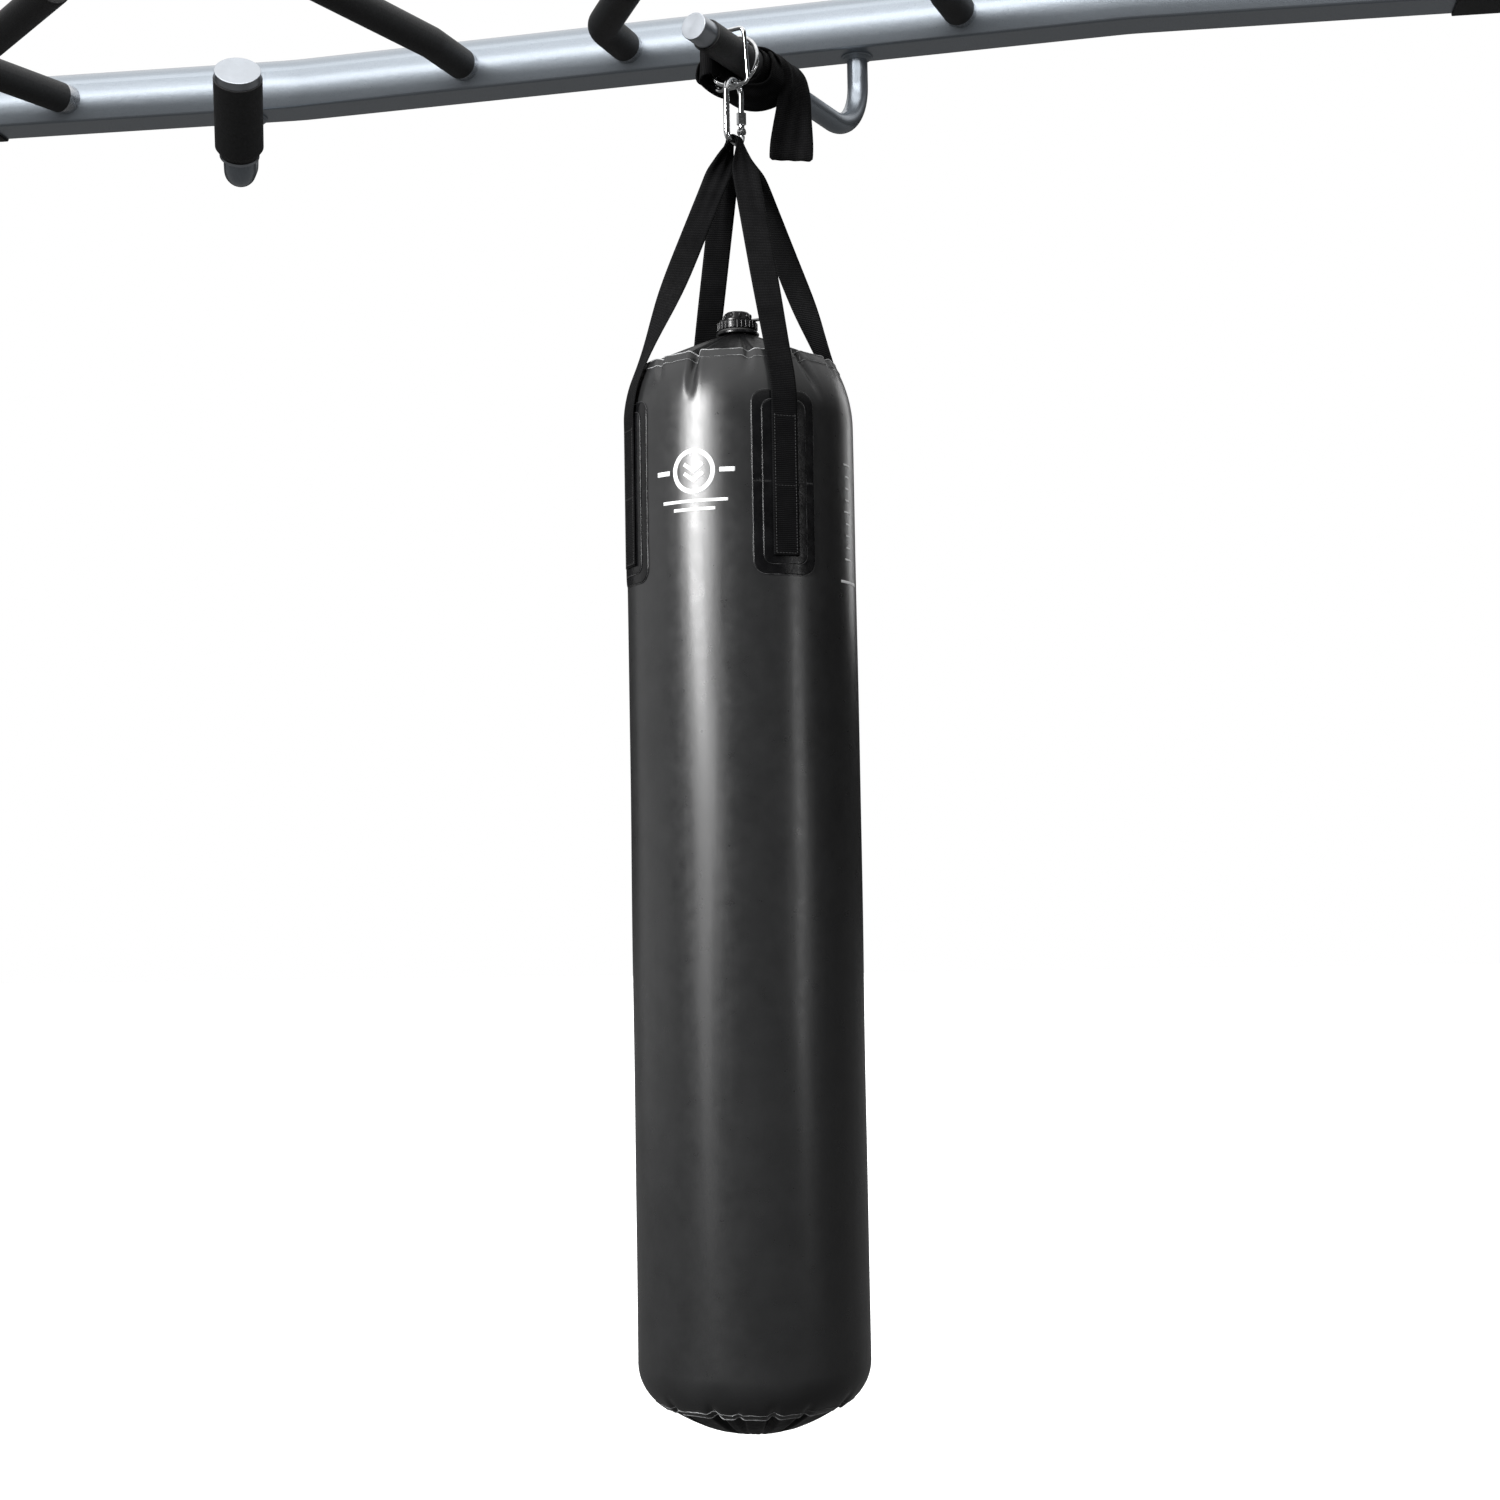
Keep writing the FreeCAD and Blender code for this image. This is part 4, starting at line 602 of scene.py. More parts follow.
def bag_panels():
    """The top panel rises to the valve; the base panel is a shallow dish."""
    tuck, gap = 0.8, 0.15
    top_edge = wall_point(azimuths, np.full(AROUND, tuck), -WALL_THICKNESS - gap)
    top_level = TOP_DOME_LEVEL - 1.2
    rise = top_level - TOP_SEAM
    end_panel("bag_top_skin", "bag_top_panel", top_edge, VALVE_HOLE, top_level,
              lambda part: 0.02 * rise * math.sin(math.pi * part) * (1 - 0.25 * part),
              TOP_FOLDS, TOP_SEAM_RADIUS)
    base_edge = wall_point(azimuths, np.full(AROUND, WALL_LENGTH - tuck), -WALL_THICKNESS - gap)
    base_level = BASE_LEVEL + 1.0
    drop = base_level - BASE_SEAM
    end_panel("bag_base_skin", "bag_bottom_panel", base_edge, 0.6, base_level,
              lambda part: 0.27 * drop * math.sin(math.pi * part), BASE_FOLDS, BASE_SEAM_RADIUS)


def waves_around(counts):
    """Sines round the bag, each with its number of waves and a random start, added up."""
    return sum(np.sin(np.radians(azimuths) * count + rng.uniform(0, 6)) for count in counts)


def weld_lines():
    """Thin beads of squeezed-out vinyl along both edges of the weld bands, uneven and broken in places."""
    parts = []
    for distance, thick, gaps in ((0.3, 0.62, 0.0), (WELD_BAND, 0.34, 0.45),
                                  (WALL_LENGTH - 0.3, 0.62, 0.0), (WALL_LENGTH - WELD_BAND, 0.34, 0.35)):
        wander = 0.35 * waves_around((5, 11, 23, 47))
        sway = np.clip(distance + wander * (1.0 if gaps else 0.35), 0.1, WALL_LENGTH - 0.1)
        level = waves_around((3, 7, 13, 31)) / 4
        radii = thick * np.clip(1.0 + 0.9 * level - gaps, 0.12, 1.5)
        parts.append(tube(wall_point(azimuths, sway, 0.5), radii, sides=6, closed=True))
    new_piece("bag_weld_lines", *joined(parts), "bag", "bag_vinyl", "weld_edge")


def water_body():
    """The fill: a closed body a few millimetres inside the skin, with a level top and a bowl-shaped base."""
    rows = np.linspace(30.0, WALL_LENGTH - 2.0, 110)
    side = wall_point(azimuths[None, ::4], rows[:, None], -WALL_THICKNESS - 0.8)
    side[..., :2] -= 3.0 * side[..., :2] / np.linalg.norm(side[..., :2], axis=-1, keepdims=True)
    columns = side.shape[1]
    top_level, base_level = side[0, :, 2].mean(), BASE_LEVEL + 4.0
    side[0, :, 2] = top_level
    points = side.reshape(-1, 3).tolist()
    faces = [face[::-1] for face in grid_faces(len(rows), columns, ring=True)]
    for level, ring_start, flip in ((top_level, 0, 1), (base_level, (len(rows) - 1) * columns, -1)):
        rim = np.array(points[ring_start:ring_start + columns])
        for part in (0.25, 0.5, 0.75, 1.0):
            inner = rim * (1 - part)
            bowl = 1 - (1 - part) ** 2
            inner[:, 2] = rim[:, 2] * (1 - bowl) + level * bowl
            start = len(points)
            points.extend(inner.tolist() if part < 1.0 else [(0.0, 0.0, level)])
            for column in range(columns):
                after = (column + 1) % columns
                inward = (start + column, start + after) if part < 1.0 else (start,)
                faces.append((ring_start + column, *inward, ring_start + after)[::flip])
            ring_start = start
    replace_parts(new_piece("water_body", points, faces, "bag", "water"), "water_fill")


# ---- patches
PATCH_WIDTH = 71.0
PATCH_HIGH = -408.0
PATCH_LOW = -605.0
BACKING_WIDTH = 49.0
BACKING_MARGIN = 11.0
PATCH_THICKNESS = 1.2
BACKING_THICKNESS = 1.0
PATCH_CORNER = 15.0


def distance_at(level):
    """The distance along the wall from the top seam down to a level on the shoulder or the straight part."""
    if level < SHOULDER_LOW:
        return SHOULDER_ARC + SHOULDER_LOW - level
    return SHOULDER_RADIUS * (SHOULDER_ANGLE - math.asin((level - SHOULDER_LOW) / SHOULDER_RADIUS))


def rounded_outline(width, height, corner):
    """A closed outline of a rounded rectangle about its middle, with even steps."""
    step = 2.0
    points = []
    half_w, half_h = width / 2 - corner, height / 2 - corner
    for quarter, (x, y) in enumerate(((1, 1), (-1, 1), (-1, -1), (1, -1))):
        for turn in np.linspace(quarter * math.pi / 2, (quarter + 1) * math.pi / 2, 9):
            points.append((x * half_w + corner * math.cos(turn), y * half_h + corner * math.sin(turn)))
    closed = np.array(points + points[:1])
    lengths = np.concatenate(([0.0], np.cumsum(np.linalg.norm(np.diff(closed, axis=0), axis=1))))
    even = np.arange(0.0, lengths[-1] - step / 2, step)
    return np.stack((np.interp(even, lengths, closed[:, 0]), np.interp(even, lengths, closed[:, 1])), axis=1)


def on_wall(centre_heading, middle, flat, grow):
    """Flat (sideways, up) millimetres about a place on the wall, wrapped onto it at a height above it."""
    azimuth = centre_heading + np.degrees(flat[:, 0] / BAG_RADIUS)
    return wall_point(azimuth, middle - flat[:, 1], grow)


def sheet_on_wall(centre_heading, width, low, high, corner, base, thickness, pillow):
    """A welded sheet with a rolled edge and gently swollen face: points, faces, outline and middle."""
    start, end = distance_at(high), distance_at(low)
    height, middle = end - start, (start + end) / 2
    outline = rounded_outline(width, height, corner)
    rings = [(1.0, base), (1.0, base + thickness * 0.6), (0.992, base + thickness * 0.95)]
    rings += [(share, base + thickness + pillow * (1 - share ** 4)) for share in
              (0.975, 0.95, 0.9, 0.82, 0.72, 0.6, 0.46, 0.3, 0.14)]
    points = []
    for share, grow in rings:
        inset = (1 - share) * width / 2
        flat = outline.copy()
        flat[:, 0] *= share
        if share < 0.99:
            flat[:, 1] = np.sign(flat[:, 1]) * np.maximum(np.abs(flat[:, 1]) - inset, 0.0)
        points.append(on_wall(centre_heading, middle, flat, grow))
    faces = grid_faces(len(rings), len(outline), ring=True) + end_caps(len(rings), len(outline))
    return np.concatenate(points), faces, outline, middle


def bag_patches():
    for name, centre in STRAPS.items():
        layers = (("patch", PATCH_WIDTH, PATCH_LOW, PATCH_HIGH, PATCH_CORNER, 0.05, PATCH_THICKNESS, 0.25),
                  ("patch_backing", BACKING_WIDTH, PATCH_LOW + BACKING_MARGIN, PATCH_HIGH - BACKING_MARGIN,
                   PATCH_CORNER - 5.0, 0.15 + PATCH_THICKNESS, BACKING_THICKNESS, 0.1))
        lines = []
        for kind, width, low, high, corner, base, thickness, pillow in layers:
            points, faces, outline, middle = sheet_on_wall(centre, width, low, high, corner,
                                                           base, thickness, pillow)
            piece = new_piece("%s_%s_sheet" % (kind, name), points, faces, "bag", "patch_vinyl")
            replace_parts(piece, "%s_%s" % (kind, name))
            turn = np.linspace(0.0, 2 * math.pi, len(outline), endpoint=False)
            uneven = 1.0 + 0.35 * np.sin(3 * turn + rng.uniform(0, 6))
            uneven += 0.3 * np.sin(11 * turn + rng.uniform(0, 6))
            path = on_wall(centre, middle, outline * (1 + 0.4 / width), base + thickness * 0.55)
            lines.append(tube(path, 0.32 * uneven, sides=6, closed=True))
        new_piece("patch_edges_%s" % name, *joined(lines), "bag", "patch_vinyl", "patch_edge")


# ---- webbing slings
STRAP_WIDTH = 30.0
STRAP_THICKNESS = 1.6
ROD_RADIUS = 3.5
CROWN_WIDTH = 13.0
BAR_LEVEL = in_hang_frame(JOINTS["bag_tilt"]["pos_m"])[2]
BAR = unit(JOINTS["bag_tilt"]["axis"])
BAR_SIDE = np.cross(UP, BAR)
CROWN_BEND = ROD_RADIUS + 0.6 + STRAP_THICKNESS / 2
STRAP_REST = PATCH_THICKNESS + BACKING_THICKNESS + 0.15 + STRAP_THICKNESS / 2 + 0.25
STRAP_END = PATCH_LOW + 19.0
STRAP_FACING = heading(8.0)
SLINGS = {"sling_inner": ("front_left", "rear_right", 0.0), "sling_outer": ("rear_left", "front_right", 2.3)}


def blend(first, second, share):
    """A direction between two; share runs 0..1 and is eased at both ends."""
    eased = share * share * (3 - 2 * share)
    return unit(first * (1 - eased) + second * eased)


def strap_half(centre, crown_side, nest):
    """Stations of one strap from its sewn end up to the carabiner's bottom bar."""
    radial = heading(centre)
    tangential = np.cross(UP, radial)
    stations = []
    for level in (STRAP_END, -560.0, -520.0, -480.0, -450.0, SHOULDER_LOW,
                  -418.0, -406.0, -394.0, -384.0, -376.0):
        grow = STRAP_REST + (0.4 if level > SHOULDER_LOW else 0.0)
        radius, height, out, up = wall_profile(distance_at(level))
        middle = radial * (float(radius) + grow * float(out)) + UP * (float(height) + grow * float(up))
        stations.append((middle, tangential, STRAP_WIDTH))
    foot = stations[-1][0]
    top = BAR_SIDE * (crown_side * (CROWN_BEND + nest)) + UP * BAR_LEVEL
    facing = STRAP_FACING * math.copysign(1.0, np.dot(STRAP_FACING, tangential))
    across_top = BAR * math.copysign(1.0, np.dot(BAR, facing))
    steps = 24
    for step in range(1, steps + 1):
        part = step / steps
        across = blend(tangential, facing, part / 0.55) if part < 0.55 else facing
        if part > 0.8:
            across = blend(facing, across_top, (part - 0.8) / 0.2)
        opened = math.sqrt(min(1.0, (1 - part) / 0.13))
        width = CROWN_WIDTH + (STRAP_WIDTH - CROWN_WIDTH) * opened
        stations.append((foot + (top - foot) * part, across, width))
    return stations


def sling_stations(first, second, nest):
    """One long strap: up from its first patch, over the bar and down to its second."""
    sides = [math.copysign(1.0, np.dot(heading(STRAPS[name]), BAR_SIDE)) for name in (first, second)]
    up = strap_half(STRAPS[first], sides[0], nest)
    down = strap_half(STRAPS[second], sides[1], nest)
    across = up[-1][1]
    bend = CROWN_BEND + nest
    crown = []
    for angle in np.linspace(0.0, math.pi, 9)[1:-1]:
        outward = BAR_SIDE * (sides[0] * math.cos(angle)) + UP * math.sin(angle)
        crown.append((outward * bend + UP * BAR_LEVEL, across, CROWN_WIDTH))
    flip = math.copysign(1.0, np.dot(down[-1][1], across))
    returning = [(middle, side * flip, width) for middle, side, width in reversed(down)]
    return up + crown + returning


def slings():
    for name, (first, second, nest) in SLINGS.items():
        stations = sling_stations(first, second, nest)
        length = sum(np.linalg.norm(after[0] - before[0]) for before, after in zip(stations, stations[1:]))

        def gathered(u, v):
            """Lengthwise folds that grow towards the bar, where the strap is bunched."""
            near_bar = math.exp(-((v - length / 2) / 75.0) ** 2)
            clear = 1.0 - math.exp(-((v - length / 2) / 22.0) ** 2)
            return 1.1 * near_bar * clear * math.sin(2.4 * math.pi * u + 0.6)
        points, faces, weave = ribbon(stations, STRAP_THICKNESS, gathered)
        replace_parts(new_piece(name + "_web", points, faces, "bag", "webbing", uv=weave), name)


def stitch(start, end, lift_axis):
    """One visible thread: a short cord that dips into the cloth at both ends."""
    thread_radius = 0.36
    path, radii = [], []
    for part in np.linspace(0.0, 1.0, 5):
        arch = math.sin(math.pi * part)
        path.append(start + (end - start) * part + lift_axis * (0.28 * arch - 0.1))
        radii.append(thread_radius * (0.55 + 0.45 * arch))
    return tube(path, radii, sides=5)


def strap_stitching():
    """Two rows down each sewn strap, crossed at the ends and in the middle."""
    reach = BAG_RADIUS + STRAP_REST + STRAP_THICKNESS / 2
    pitch, run, side = 3.4, 2.448, STRAP_WIDTH / 2 - 3.2
    low, cross, top = (STRAP_END + rise for rise in (3.0, 75.0, 150.0))
    for name, centre in STRAPS.items():
        radial = heading(centre)
        tangential = np.cross(UP, radial)
        parts = []

        def spot(sideways, level):
            return radial * reach + tangential * sideways + UP * level
        for sideways in (-side, side):
            for level in np.arange(low, top, pitch):
                parts.append(stitch(spot(sideways, level), spot(sideways, level + run), radial))
        for level in (low, cross, top):
            for sideways in np.arange(-side, side, pitch):
                parts.append(stitch(spot(sideways, level), spot(sideways + run, level), radial))
        new_piece("strap_stitches_%s" % name, *joined(parts), "bag", "webbing", "thread")


# ---- anchor strap
GRIP_X = -tip_axis
GRIP_Y = unit(np.cross(UP, GRIP_X))
GRIP_Z = np.cross(GRIP_X, GRIP_Y)
ANCHOR_WIDTH = 50.0
ANCHOR_THICKNESS = 2.0


def from_grip(x, y, z):
    """A point or direction along the grip, to its far side and up from it."""
    return GRIP_X * x + GRIP_Y * y + GRIP_Z * z


def web_through(rows, relief):
    """A length of wide webbing through rows of (point, width direction, width) in the grip's frame."""
    stations = [(from_grip(*point), from_grip(*across), width) for point, across, width in rows]
    return ribbon(stations, ANCHOR_THICKNESS, relief, 17)


def strap_eye():
    """The sewn eye round both rings' bows, standing on edge beside the grip."""
    path = ((50, 23, -10, 44), (38, 26.2, -9, 38), (27, 23, -8, 34),
            (14, 20.2, -8, 33), (-4, 20, -8, 33), (-14, 21.5, -8.5, 35),
            (-19, 27.6, -10, 39), (-14, 33.8, -11.5, 43), (-4, 35.4, -12.5, 46),
            (14, 35.6, -13, 47), (28, 33, -13, 47), (39, 29, -12, 46),
            (52, 26, -11, 46))
    return web_through([((x, y, z), (0, 0, 1), width) for x, y, z, width in path],
                       lambda u, v: 0.5 * math.sin(2.5 * u + v / 15.0))


def strap_slack():
    """The slack turn: off the top of the grip, far out round the eye, under the grip and back up.

    Each place has its point, the slant of the web towards the far side and upward, and its width.
    """
    path = ((58, -2, 23.6, 0, 0, 50), (50, 12, 23, 0.1, 0, 50), (38, 26, 17, 0.25, 0, 50),
            (24, 37, 4, 0.2, -0.1, 50), (15, 41, -12, 0.05, -0.1, 50),
            (16, 38, -27, -0.15, 0, 50), (27, 28, -36, -0.25, -0.25, 50),
            (42, 14, -34, -0.15, -0.42, 50), (56, 0, -31, 0, -0.28, 50),
            (62, -12, -27.5, 0, -0.12, 50), (66, -19.5, -20, 0, 0, 49),
            (68, -22.6, -12, 0, 0, 48), (70, -21.8, 3, 0, 0, 47), (72, -15, 17, 0, 0, 46))
    rows = [((x, y, z), (1, back, rise), width) for x, y, z, back, rise, width in path]
    return web_through(rows, lambda u, v: 0.9 * math.sin(3.0 * u + v / 21.0)
                       + 0.5 * math.sin(7.0 * u - v / 33.0 + 1.0))


def strap_wrap():
    """One tight turn on the grip."""
    place, radius = 59.0, 19.75
    rows = []
    for angle in np.radians(np.linspace(95.0, 452.0, 37)):
        point = (place, radius * math.cos(angle), radius * math.sin(angle))
        rows.append((point, (1, 0, 0), ANCHOR_WIDTH))
    return web_through(rows, lambda u, v: 0.12 * math.sin(3.0 * u + v / 9.0))


def strap_tail():
    """The loose end, over the top of the turns and down in front, turning its flat side to the front."""
    path = ((66, 14, 21.4, 0, 50), (73, 3, 25.6, 0, 50), (79, -8, 24.4, 0, 50),
            (85, -17.5, 18.4, 0, 50), (89, -23.8, 8, 1, 50), (91, -25.8, -6, 7, 48),
            (92, -26.2, -22, 17, 46), (92.5, -25.8, -40, 29, 45.5), (92.5, -25, -58, 40, 47.5),
            (92, -24.4, -78, 50, 50), (92, -24, -94, 56, 50), (92, -24, -97.3, 57, 48),
            (92, -24, -98.8, 57, 44))
    rows = []
    for x, y, z, twist, width in path:
        turn = math.radians(twist)
        rows.append(((x, y, z), (math.cos(turn), -math.sin(turn), 0.0), width))

    def creases(u, v):
        near = math.exp(-((v - 75.0) / 30.0) ** 2)
        return 2.4 * near * math.sin(5.0 * u + 0.5) + 0.8 * math.sin(9.0 * u + v / 26.0)
    return web_through(rows, creases)


def anchor_strap():
    """The wide strap that carries the rings from the grip."""
    lengths = [strap_eye(), strap_slack(), strap_wrap(), strap_tail()]
    points, faces = joined([length[:2] for length in lengths])
    weave = [row for length in lengths for row in length[2]]
    piece = new_piece("anchor_web", points, faces, "hanger_rings", "webbing", uv=weave)
    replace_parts(piece, "anchor_strap")


# ---- printed marks
def printed_band(path, width, centre, middle, closed=False):
    """A thin flat mark of even width along a (sideways, up) path on the wall, as points and faces."""
    path = np.array(path, float)
    ahead = np.roll(path, -1, axis=0) - path
    behind = path - np.roll(path, 1, axis=0)
    if not closed:
        ahead[-1], behind[0] = behind[-1], ahead[0]
    mitre = []
    for before, after in zip(behind, ahead):
        first = unit(before)
        bisector = unit(first + unit(after))
        mitre.append(np.array((-bisector[1], bisector[0])) / max(0.5, np.dot(bisector, first)))
    mitre = np.array(mitre)
    lanes = [path + mitre * (width * share) for share in (-0.5, -0.25, 0.0, 0.25, 0.5)]
    rows = [on_wall(centre, middle, lane, 0.30) for lane in lanes]
    rows += [on_wall(centre, middle, lane, 0.02) for lane in lanes[::-1]]
    points = np.stack(rows, axis=1)
    columns = points.shape[1]
    faces = grid_faces(len(points), columns, ring=True, loop=closed)
    if not closed:
        faces += end_caps(len(points), columns)
    return points.reshape(-1, 3).tolist(), faces


def dense(*corners):
    """A path through corners with many points, so that a mark bends with the wall."""
    step = 2.0
    points = []
    for start, end in zip(corners, corners[1:]):
        start, end = np.array(start, float), np.array(end, float)
        count = max(1, int(np.linalg.norm(end - start) / step))
        points += [start + (end - start) * part for part in np.linspace(0.0, 1.0, count, endpoint=False)]
    return points + [np.array(corners[-1], float)]


def printed_marks():
    """A plain ring with chevrons and bars at the front, and a level scale at the right."""
    front = (-105.0, distance_at(-505.0))
    side = (-15.0, distance_at(-540.0))
    turns = np.linspace(0, 2 * math.pi, 72, endpoint=False)
    circle = [(22.0 * math.cos(turn), 12.0 + 22.0 * math.sin(turn)) for turn in turns]
    parts = [printed_band(circle, 5.0, *front, closed=True)]
    for lift in (2.0, 12.0):
        parts.append(printed_band(dense((-11.0, lift + 8.0), (0.0, lift), (11.0, lift + 8.0)), 4.0, *front))
    for sign in (-1, 1):
        parts.append(printed_band(dense((sign * 29.0, 12.0), (sign * 46.0, 12.0)), 5.0, *front))
    for half, level in ((38.0, -20.0), (24.0, -29.0)):
        parts.append(printed_band(dense((-half, level), (half, level)), 3.4, *front))
    for number in range(9):
        level = 62.0 - 13.0 * number
        half = 9.0 if number % 4 == 0 else 5.0
        parts.append(printed_band(dense((-half, level), (half, level)), 1.8, *side))
    parts.append(printed_band(dense((-20.0, -67.0), (24.0, -67.0)), 3.0, *side))
    new_piece("printed_marks", *joined(parts), "bag", "bag_vinyl", "print_ink")


# ---- small metal details
def bead_ring(name, centre, radius, thick):
    """A level weld bead round a joint: a ring of overlapping ripples."""
    first = unit(np.cross(UP, (0.3, 0.9, 0.2)))
    second = np.cross(UP, first)
    count = int(radius * 2.2)
    turn = np.linspace(0.0, 2 * math.pi, count * 6, endpoint=False)
    wobble = radius + thick * 0.2 + 0.25 * np.sin(3 * turn) + 0.15 * np.sin(7 * turn + 1.0)
    path = [centre + (first * math.cos(a) + second * math.sin(a)) * r for a, r in zip(turn, wobble)]
    radii = thick * (1.0 + 0.16 * np.abs(np.sin(count * turn / 2)))
    new_piece(name, *tube(path, radii, sides=10, closed=True), "rig", "rig_paint")


def weld_beads():
    """Beads where the two handles' flanges meet the beam and their tubes meet the flanges."""
    for handle, tube_radius, thick in (("j_handle", 12.5, 1.7), ("stub_handle", 19.0, 2.2)):
        low, high = hang_box(handle + "_flange")
        middle = (low + high) / 2
        radius = (high[0] - low[0]) / 2
        for level, reach in ((high[2] - 0.6, radius), (low[2] + 0.3, tube_radius)):
            centre = np.array((middle[0], middle[1], level))
            bead_ring("%s_bead_%d" % (handle, level < middle[2]), centre, reach, thick)


def cap_details():
    """Raised lugs round the valve cap, and a moulded step on its top."""
    _, high = hang_box("valve_cap")
    parts = []
    lugs = 10
    for number in range(lugs):
        foot = heading(360.0 * number / lugs) * 14.6 + UP * (high[2] - 7.2)
        path = [foot + UP * lift for lift in np.linspace(0.0, 5.4, 5)]
        parts.append(tube(path, (0.9, 1.5, 1.6, 1.5, 0.8)))
    ring = [heading(turn) * 6.6 + UP * (high[2] - 2.3) for turn in np.arange(0.0, 360.0, 7.5)]
    parts.append(tube(ring, [0.7] * len(ring), closed=True))
    new_piece("valve_cap_lugs", *joined(parts), "valve_cap", "valve_plastic")


# ---- floor, light and camera
def studio_world():
    """White for the camera; for reflections, a bright ceiling over dim walls."""
    world = bpy.data.worlds.new("studio")
    bpy.context.scene.world = world
    world.use_nodes = True
    tree = world.node_tree
    tree.nodes.clear()
    direction = add_node(tree, "ShaderNodeTexCoord").outputs["Generated"]
    height = add_node(tree, "ShaderNodeSeparateXYZ", {"Vector": direction}).outputs["Z"]
    ramp = add_node(tree, "ShaderNodeValToRGB", {"Fac": scaled(tree, height, 0.0, 1.0, -1.0, 1.0)})
    stops = ((0.0, 0.20), (0.40, 0.12), (0.50, 0.02), (0.66, 0.05), (0.80, 0.9), (0.90, 1.3), (1.0, 1.3))
    elements = ramp.color_ramp.elements
    while len(elements) < len(stops):
        elements.new(0.5)
    for element, (place, level) in zip(elements, stops):
        element.position = place
        element.color = (level, level, level, 1.0)
    white = add_node(tree, "ShaderNodeBackground", {"Color": (1.0, 1.0, 1.0, 1.0)}).outputs[0]
    studio = add_node(tree, "ShaderNodeBackground", {"Color": ramp.outputs["Color"]}).outputs[0]
    seen = add_node(tree, "ShaderNodeLightPath").outputs["Is Camera Ray"]
    mix = add_node(tree, "ShaderNodeMixShader", {0: seen, 1: studio, 2: white})
    add_node(tree, "ShaderNodeOutputWorld", {"Surface": mix.outputs["Shader"]})


CAMERA_PLACE = Vector((1.5027, -3.0652, -1.0685))
CAMERA_TURN = 8.0
CAMERA_PITCH = 3.6
CAMERA_ROLL = 0.97


def make_camera():
    """A 60 mm lens on a 36 mm sensor, looking a little up at the bag."""
    pitch, roll = math.radians(CAMERA_PITCH), math.radians(CAMERA_ROLL)
    right = Vector(heading(CAMERA_TURN))
    ahead = Vector(heading(CAMERA_TURN + 90.0) * math.cos(pitch) + UP * math.sin(pitch))
    upward = right.cross(ahead)
    side = right * math.cos(roll) - upward * math.sin(roll)
    top = right * math.sin(roll) + upward * math.cos(roll)
    data = bpy.data.cameras.new("camera")
    data.lens = 60.0
    data.sensor_width = 36.0
    camera = placed("camera", data)
    camera.matrix_world = Matrix((side, top, -ahead)).transposed().to_4x4()
    camera.location = CAMERA_PLACE
    bpy.context.scene.camera = camera


RIG_WORDS = ("beam", "flange", "socket", "handle", "rung")


def light_groups():
    """The rig is lit apart from the bag, so that each shows its own gradient."""
    groups = {name: bpy.data.collections.new("lit_" + name) for name in ("rig", "bag", "floor")}
    for piece in bpy.context.scene.objects:
        if piece.type != "MESH":
            continue
        group = "bag"
        if piece.name == "floor":
            group = "floor"
        elif any(word in piece.name for word in RIG_WORDS):
            group = "rig"
        groups[group].objects.link(piece)
    return groups


def area_light(name, place, aim, width, height, radiance, receivers):
    """A soft box at a place, turned towards a point; it lights only its own group."""
    data = bpy.data.lights.new(name, "AREA")
    data.shape = "RECTANGLE"
    data.size, data.size_y = width, height
    data.energy = radiance * math.pi * width * height
    lamp = placed(name, data)
    lamp.location = place
    lamp.rotation_mode = "QUATERNION"
    lamp.rotation_quaternion = (Vector(aim) - lamp.location).to_track_quat("-Z", "Y")
    lamp.visible_camera = False
    lamp.light_linking.receiver_collection = receivers


# Soft boxes standing round the bag: name, azimuth (0 at the camera, positive to its right), distance,
# level, width, height and radiance.
BAG_LIGHTS = (
    ("key_box", -43.0, 3.0, 0.32, 0.72, 1.3, 54.0), ("key_wide", -36.0, 3.2, -0.1, 1.1, 1.3, 6.68),
    ("key_skirt", -42.0, 3.0, -1.0, 0.7, 1.2, 3.03), ("left_wall", -105.0, 3.5, -0.2, 3.4, 2.8, 0.50),
    ("fill_strip", 54.0, 3.0, -0.75, 0.10, 1.2, 21.0), ("rim_strip", 142.0, 2.2, -0.05, 0.4, 0.9, 3.0),
)
# Long panels in front of the beam: name, elevation seen from it, distance, height and radiance.
RIG_LIGHTS = (
    ("panel_high", 62.0, 3.0, 1.4, 1.2), ("panel_main", 28.0, 3.5, 1.0, 4.6),
    ("panel_low", 8.0, 3.5, 0.9, 0.7), ("panel_under", -80.0, 2.5, 2.5, 1.0),
)
RIG_PANEL_WIDTH = 7.0
BEAM_MIDDLE = Vector((1.0, -0.06, 0.0))


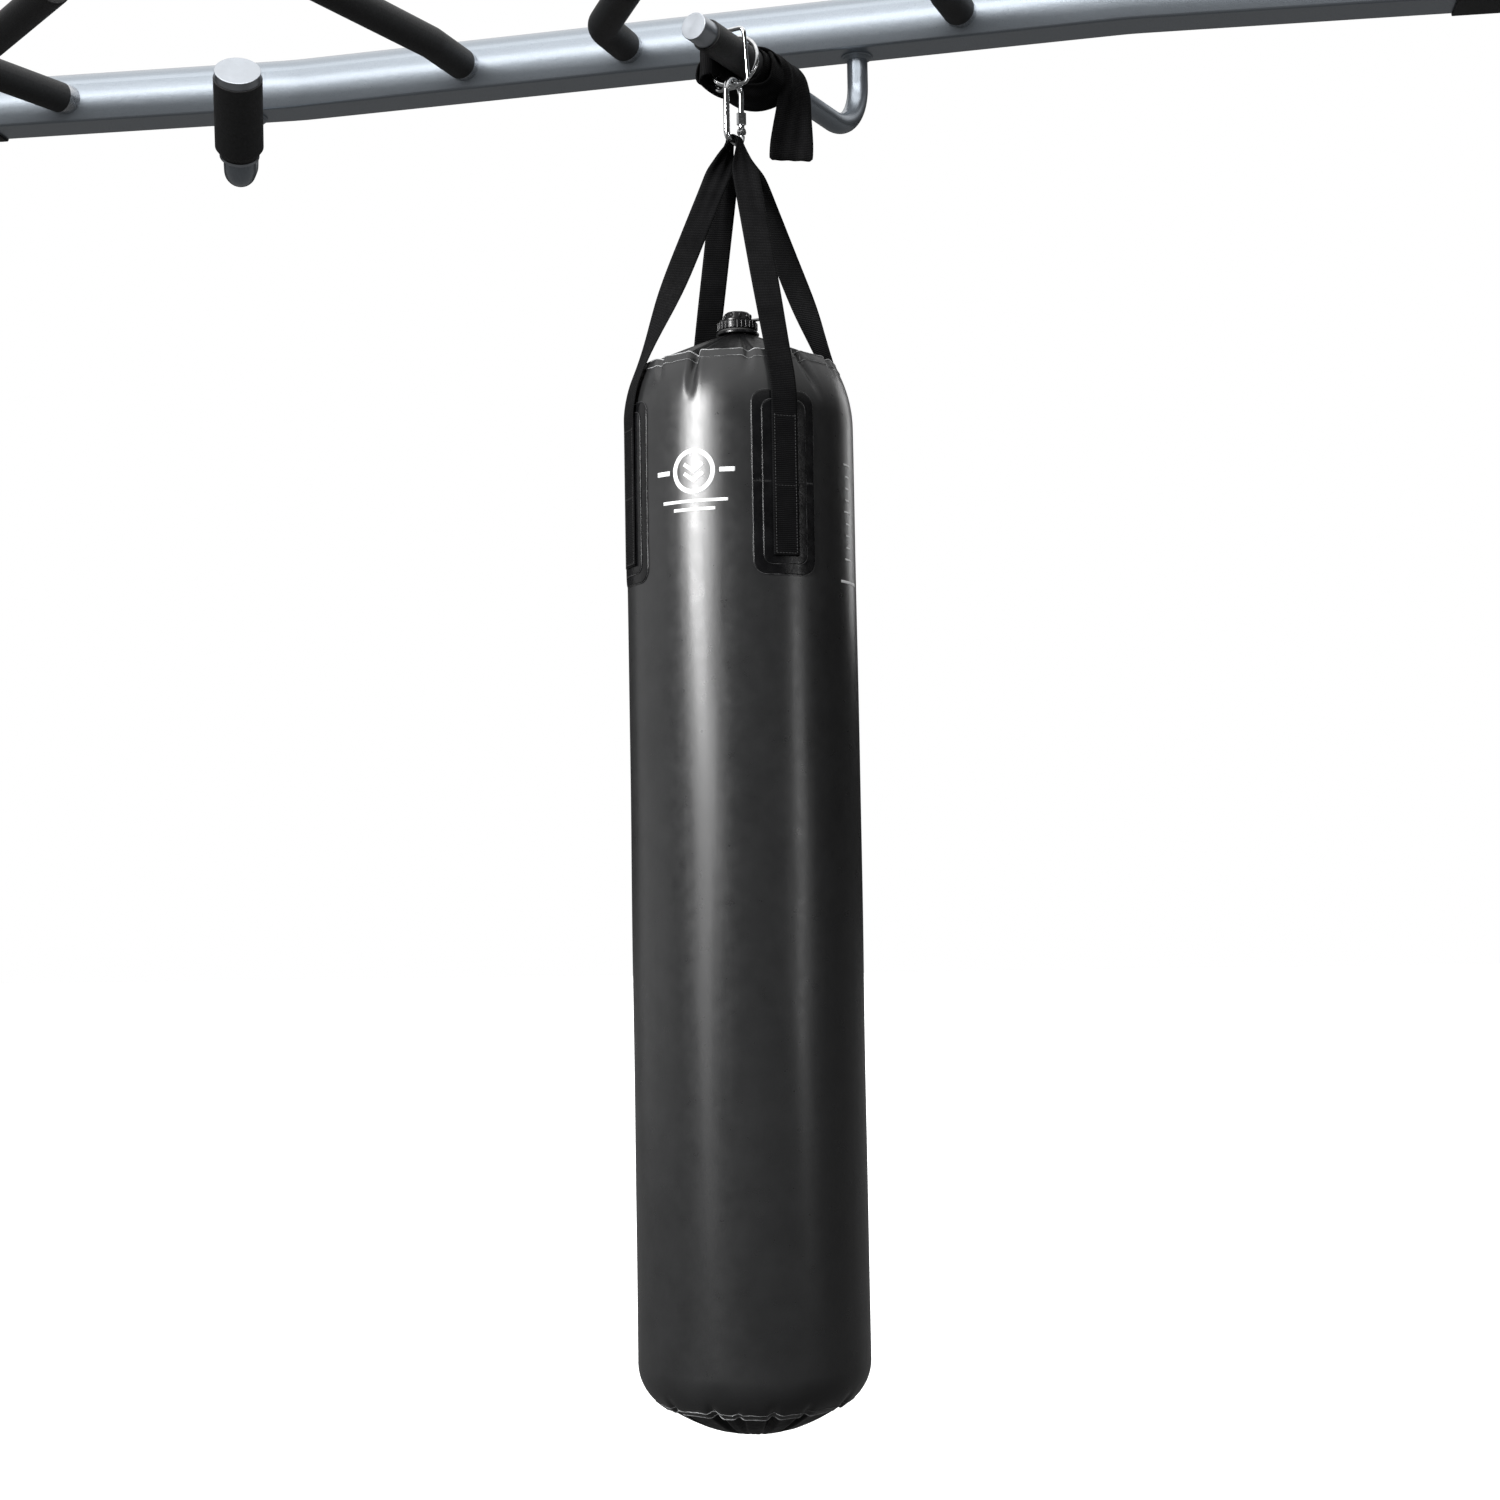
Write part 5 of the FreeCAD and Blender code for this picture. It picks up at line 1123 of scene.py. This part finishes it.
def lights():
    groups = light_groups()
    middle = Vector(HANG_POINT) + Vector((0.0, 0.0, (BASE_LEVEL + TOP_SEAM) / 2 * MM))
    for name, azimuth, distance, level, width, height, radiance in BAG_LIGHTS:
        angle = math.radians(-90.0 + CAMERA_TURN + azimuth)
        place = (middle.x + math.cos(angle) * distance, middle.y + math.sin(angle) * distance, level)
        aim = (middle.x, middle.y, (level + middle.z) / 2)
        area_light(name, place, aim, width, height, radiance, groups["bag"])
    for name, elevation, distance, height, radiance in RIG_LIGHTS:
        rise = math.radians(elevation)
        place = BEAM_MIDDLE + Vector((0.0, -math.cos(rise) * distance, math.sin(rise) * distance))
        area_light(name, place, BEAM_MIDDLE, RIG_PANEL_WIDTH, height, radiance, groups["rig"])
    sun = bpy.data.lights.new("floor_sun", "SUN")
    sun.energy = 3.3
    sun.angle = math.radians(120.0)
    lamp = placed("floor_sun", sun)
    lamp.light_linking.receiver_collection = groups["floor"]


def floor_material():
    """Pale to the eye; it throws back less light than it shows, so the bag keeps its dark lower end."""
    material = surface("floor_white", (0.95, 0.95, 0.95), (0.97, 0.97, 0.97), 2.0, (0.6, 0.7, 3.0), (), {})
    tree = material.node_tree
    shader = tree.nodes["Principled BSDF"]
    seen = add_node(tree, "ShaderNodeLightPath").outputs["Is Camera Ray"]
    link(tree, mixed(tree, seen, (0.03, 0.03, 0.03), (0.96, 0.96, 0.96)), shader.inputs["Base Color"])
    return material


def floor():
    """A plain pale floor below the bag."""
    drop, reach, steps = 0.32, 30.0, 12
    rows = np.linspace(-reach, reach, steps)
    points = [(HANG_POINT[0] + x, HANG_POINT[1] + y, cad_box[0].z - drop) for y in rows for x in rows]
    mesh = bpy.data.meshes.new("floor")
    mesh.from_pydata(points, [], grid_faces(steps, steps))
    mesh.materials.append(floor_material())
    placed("floor", mesh)


# ---- build
finish_nodes()
bag_wall()
bag_panels()
weld_lines()
water_body()
bag_patches()
slings()
strap_stitching()
anchor_strap()
printed_marks()
weld_beads()
cap_details()
studio_world()
floor()
lights()
make_camera()
bpy.context.scene.view_settings.view_transform = "Standard"
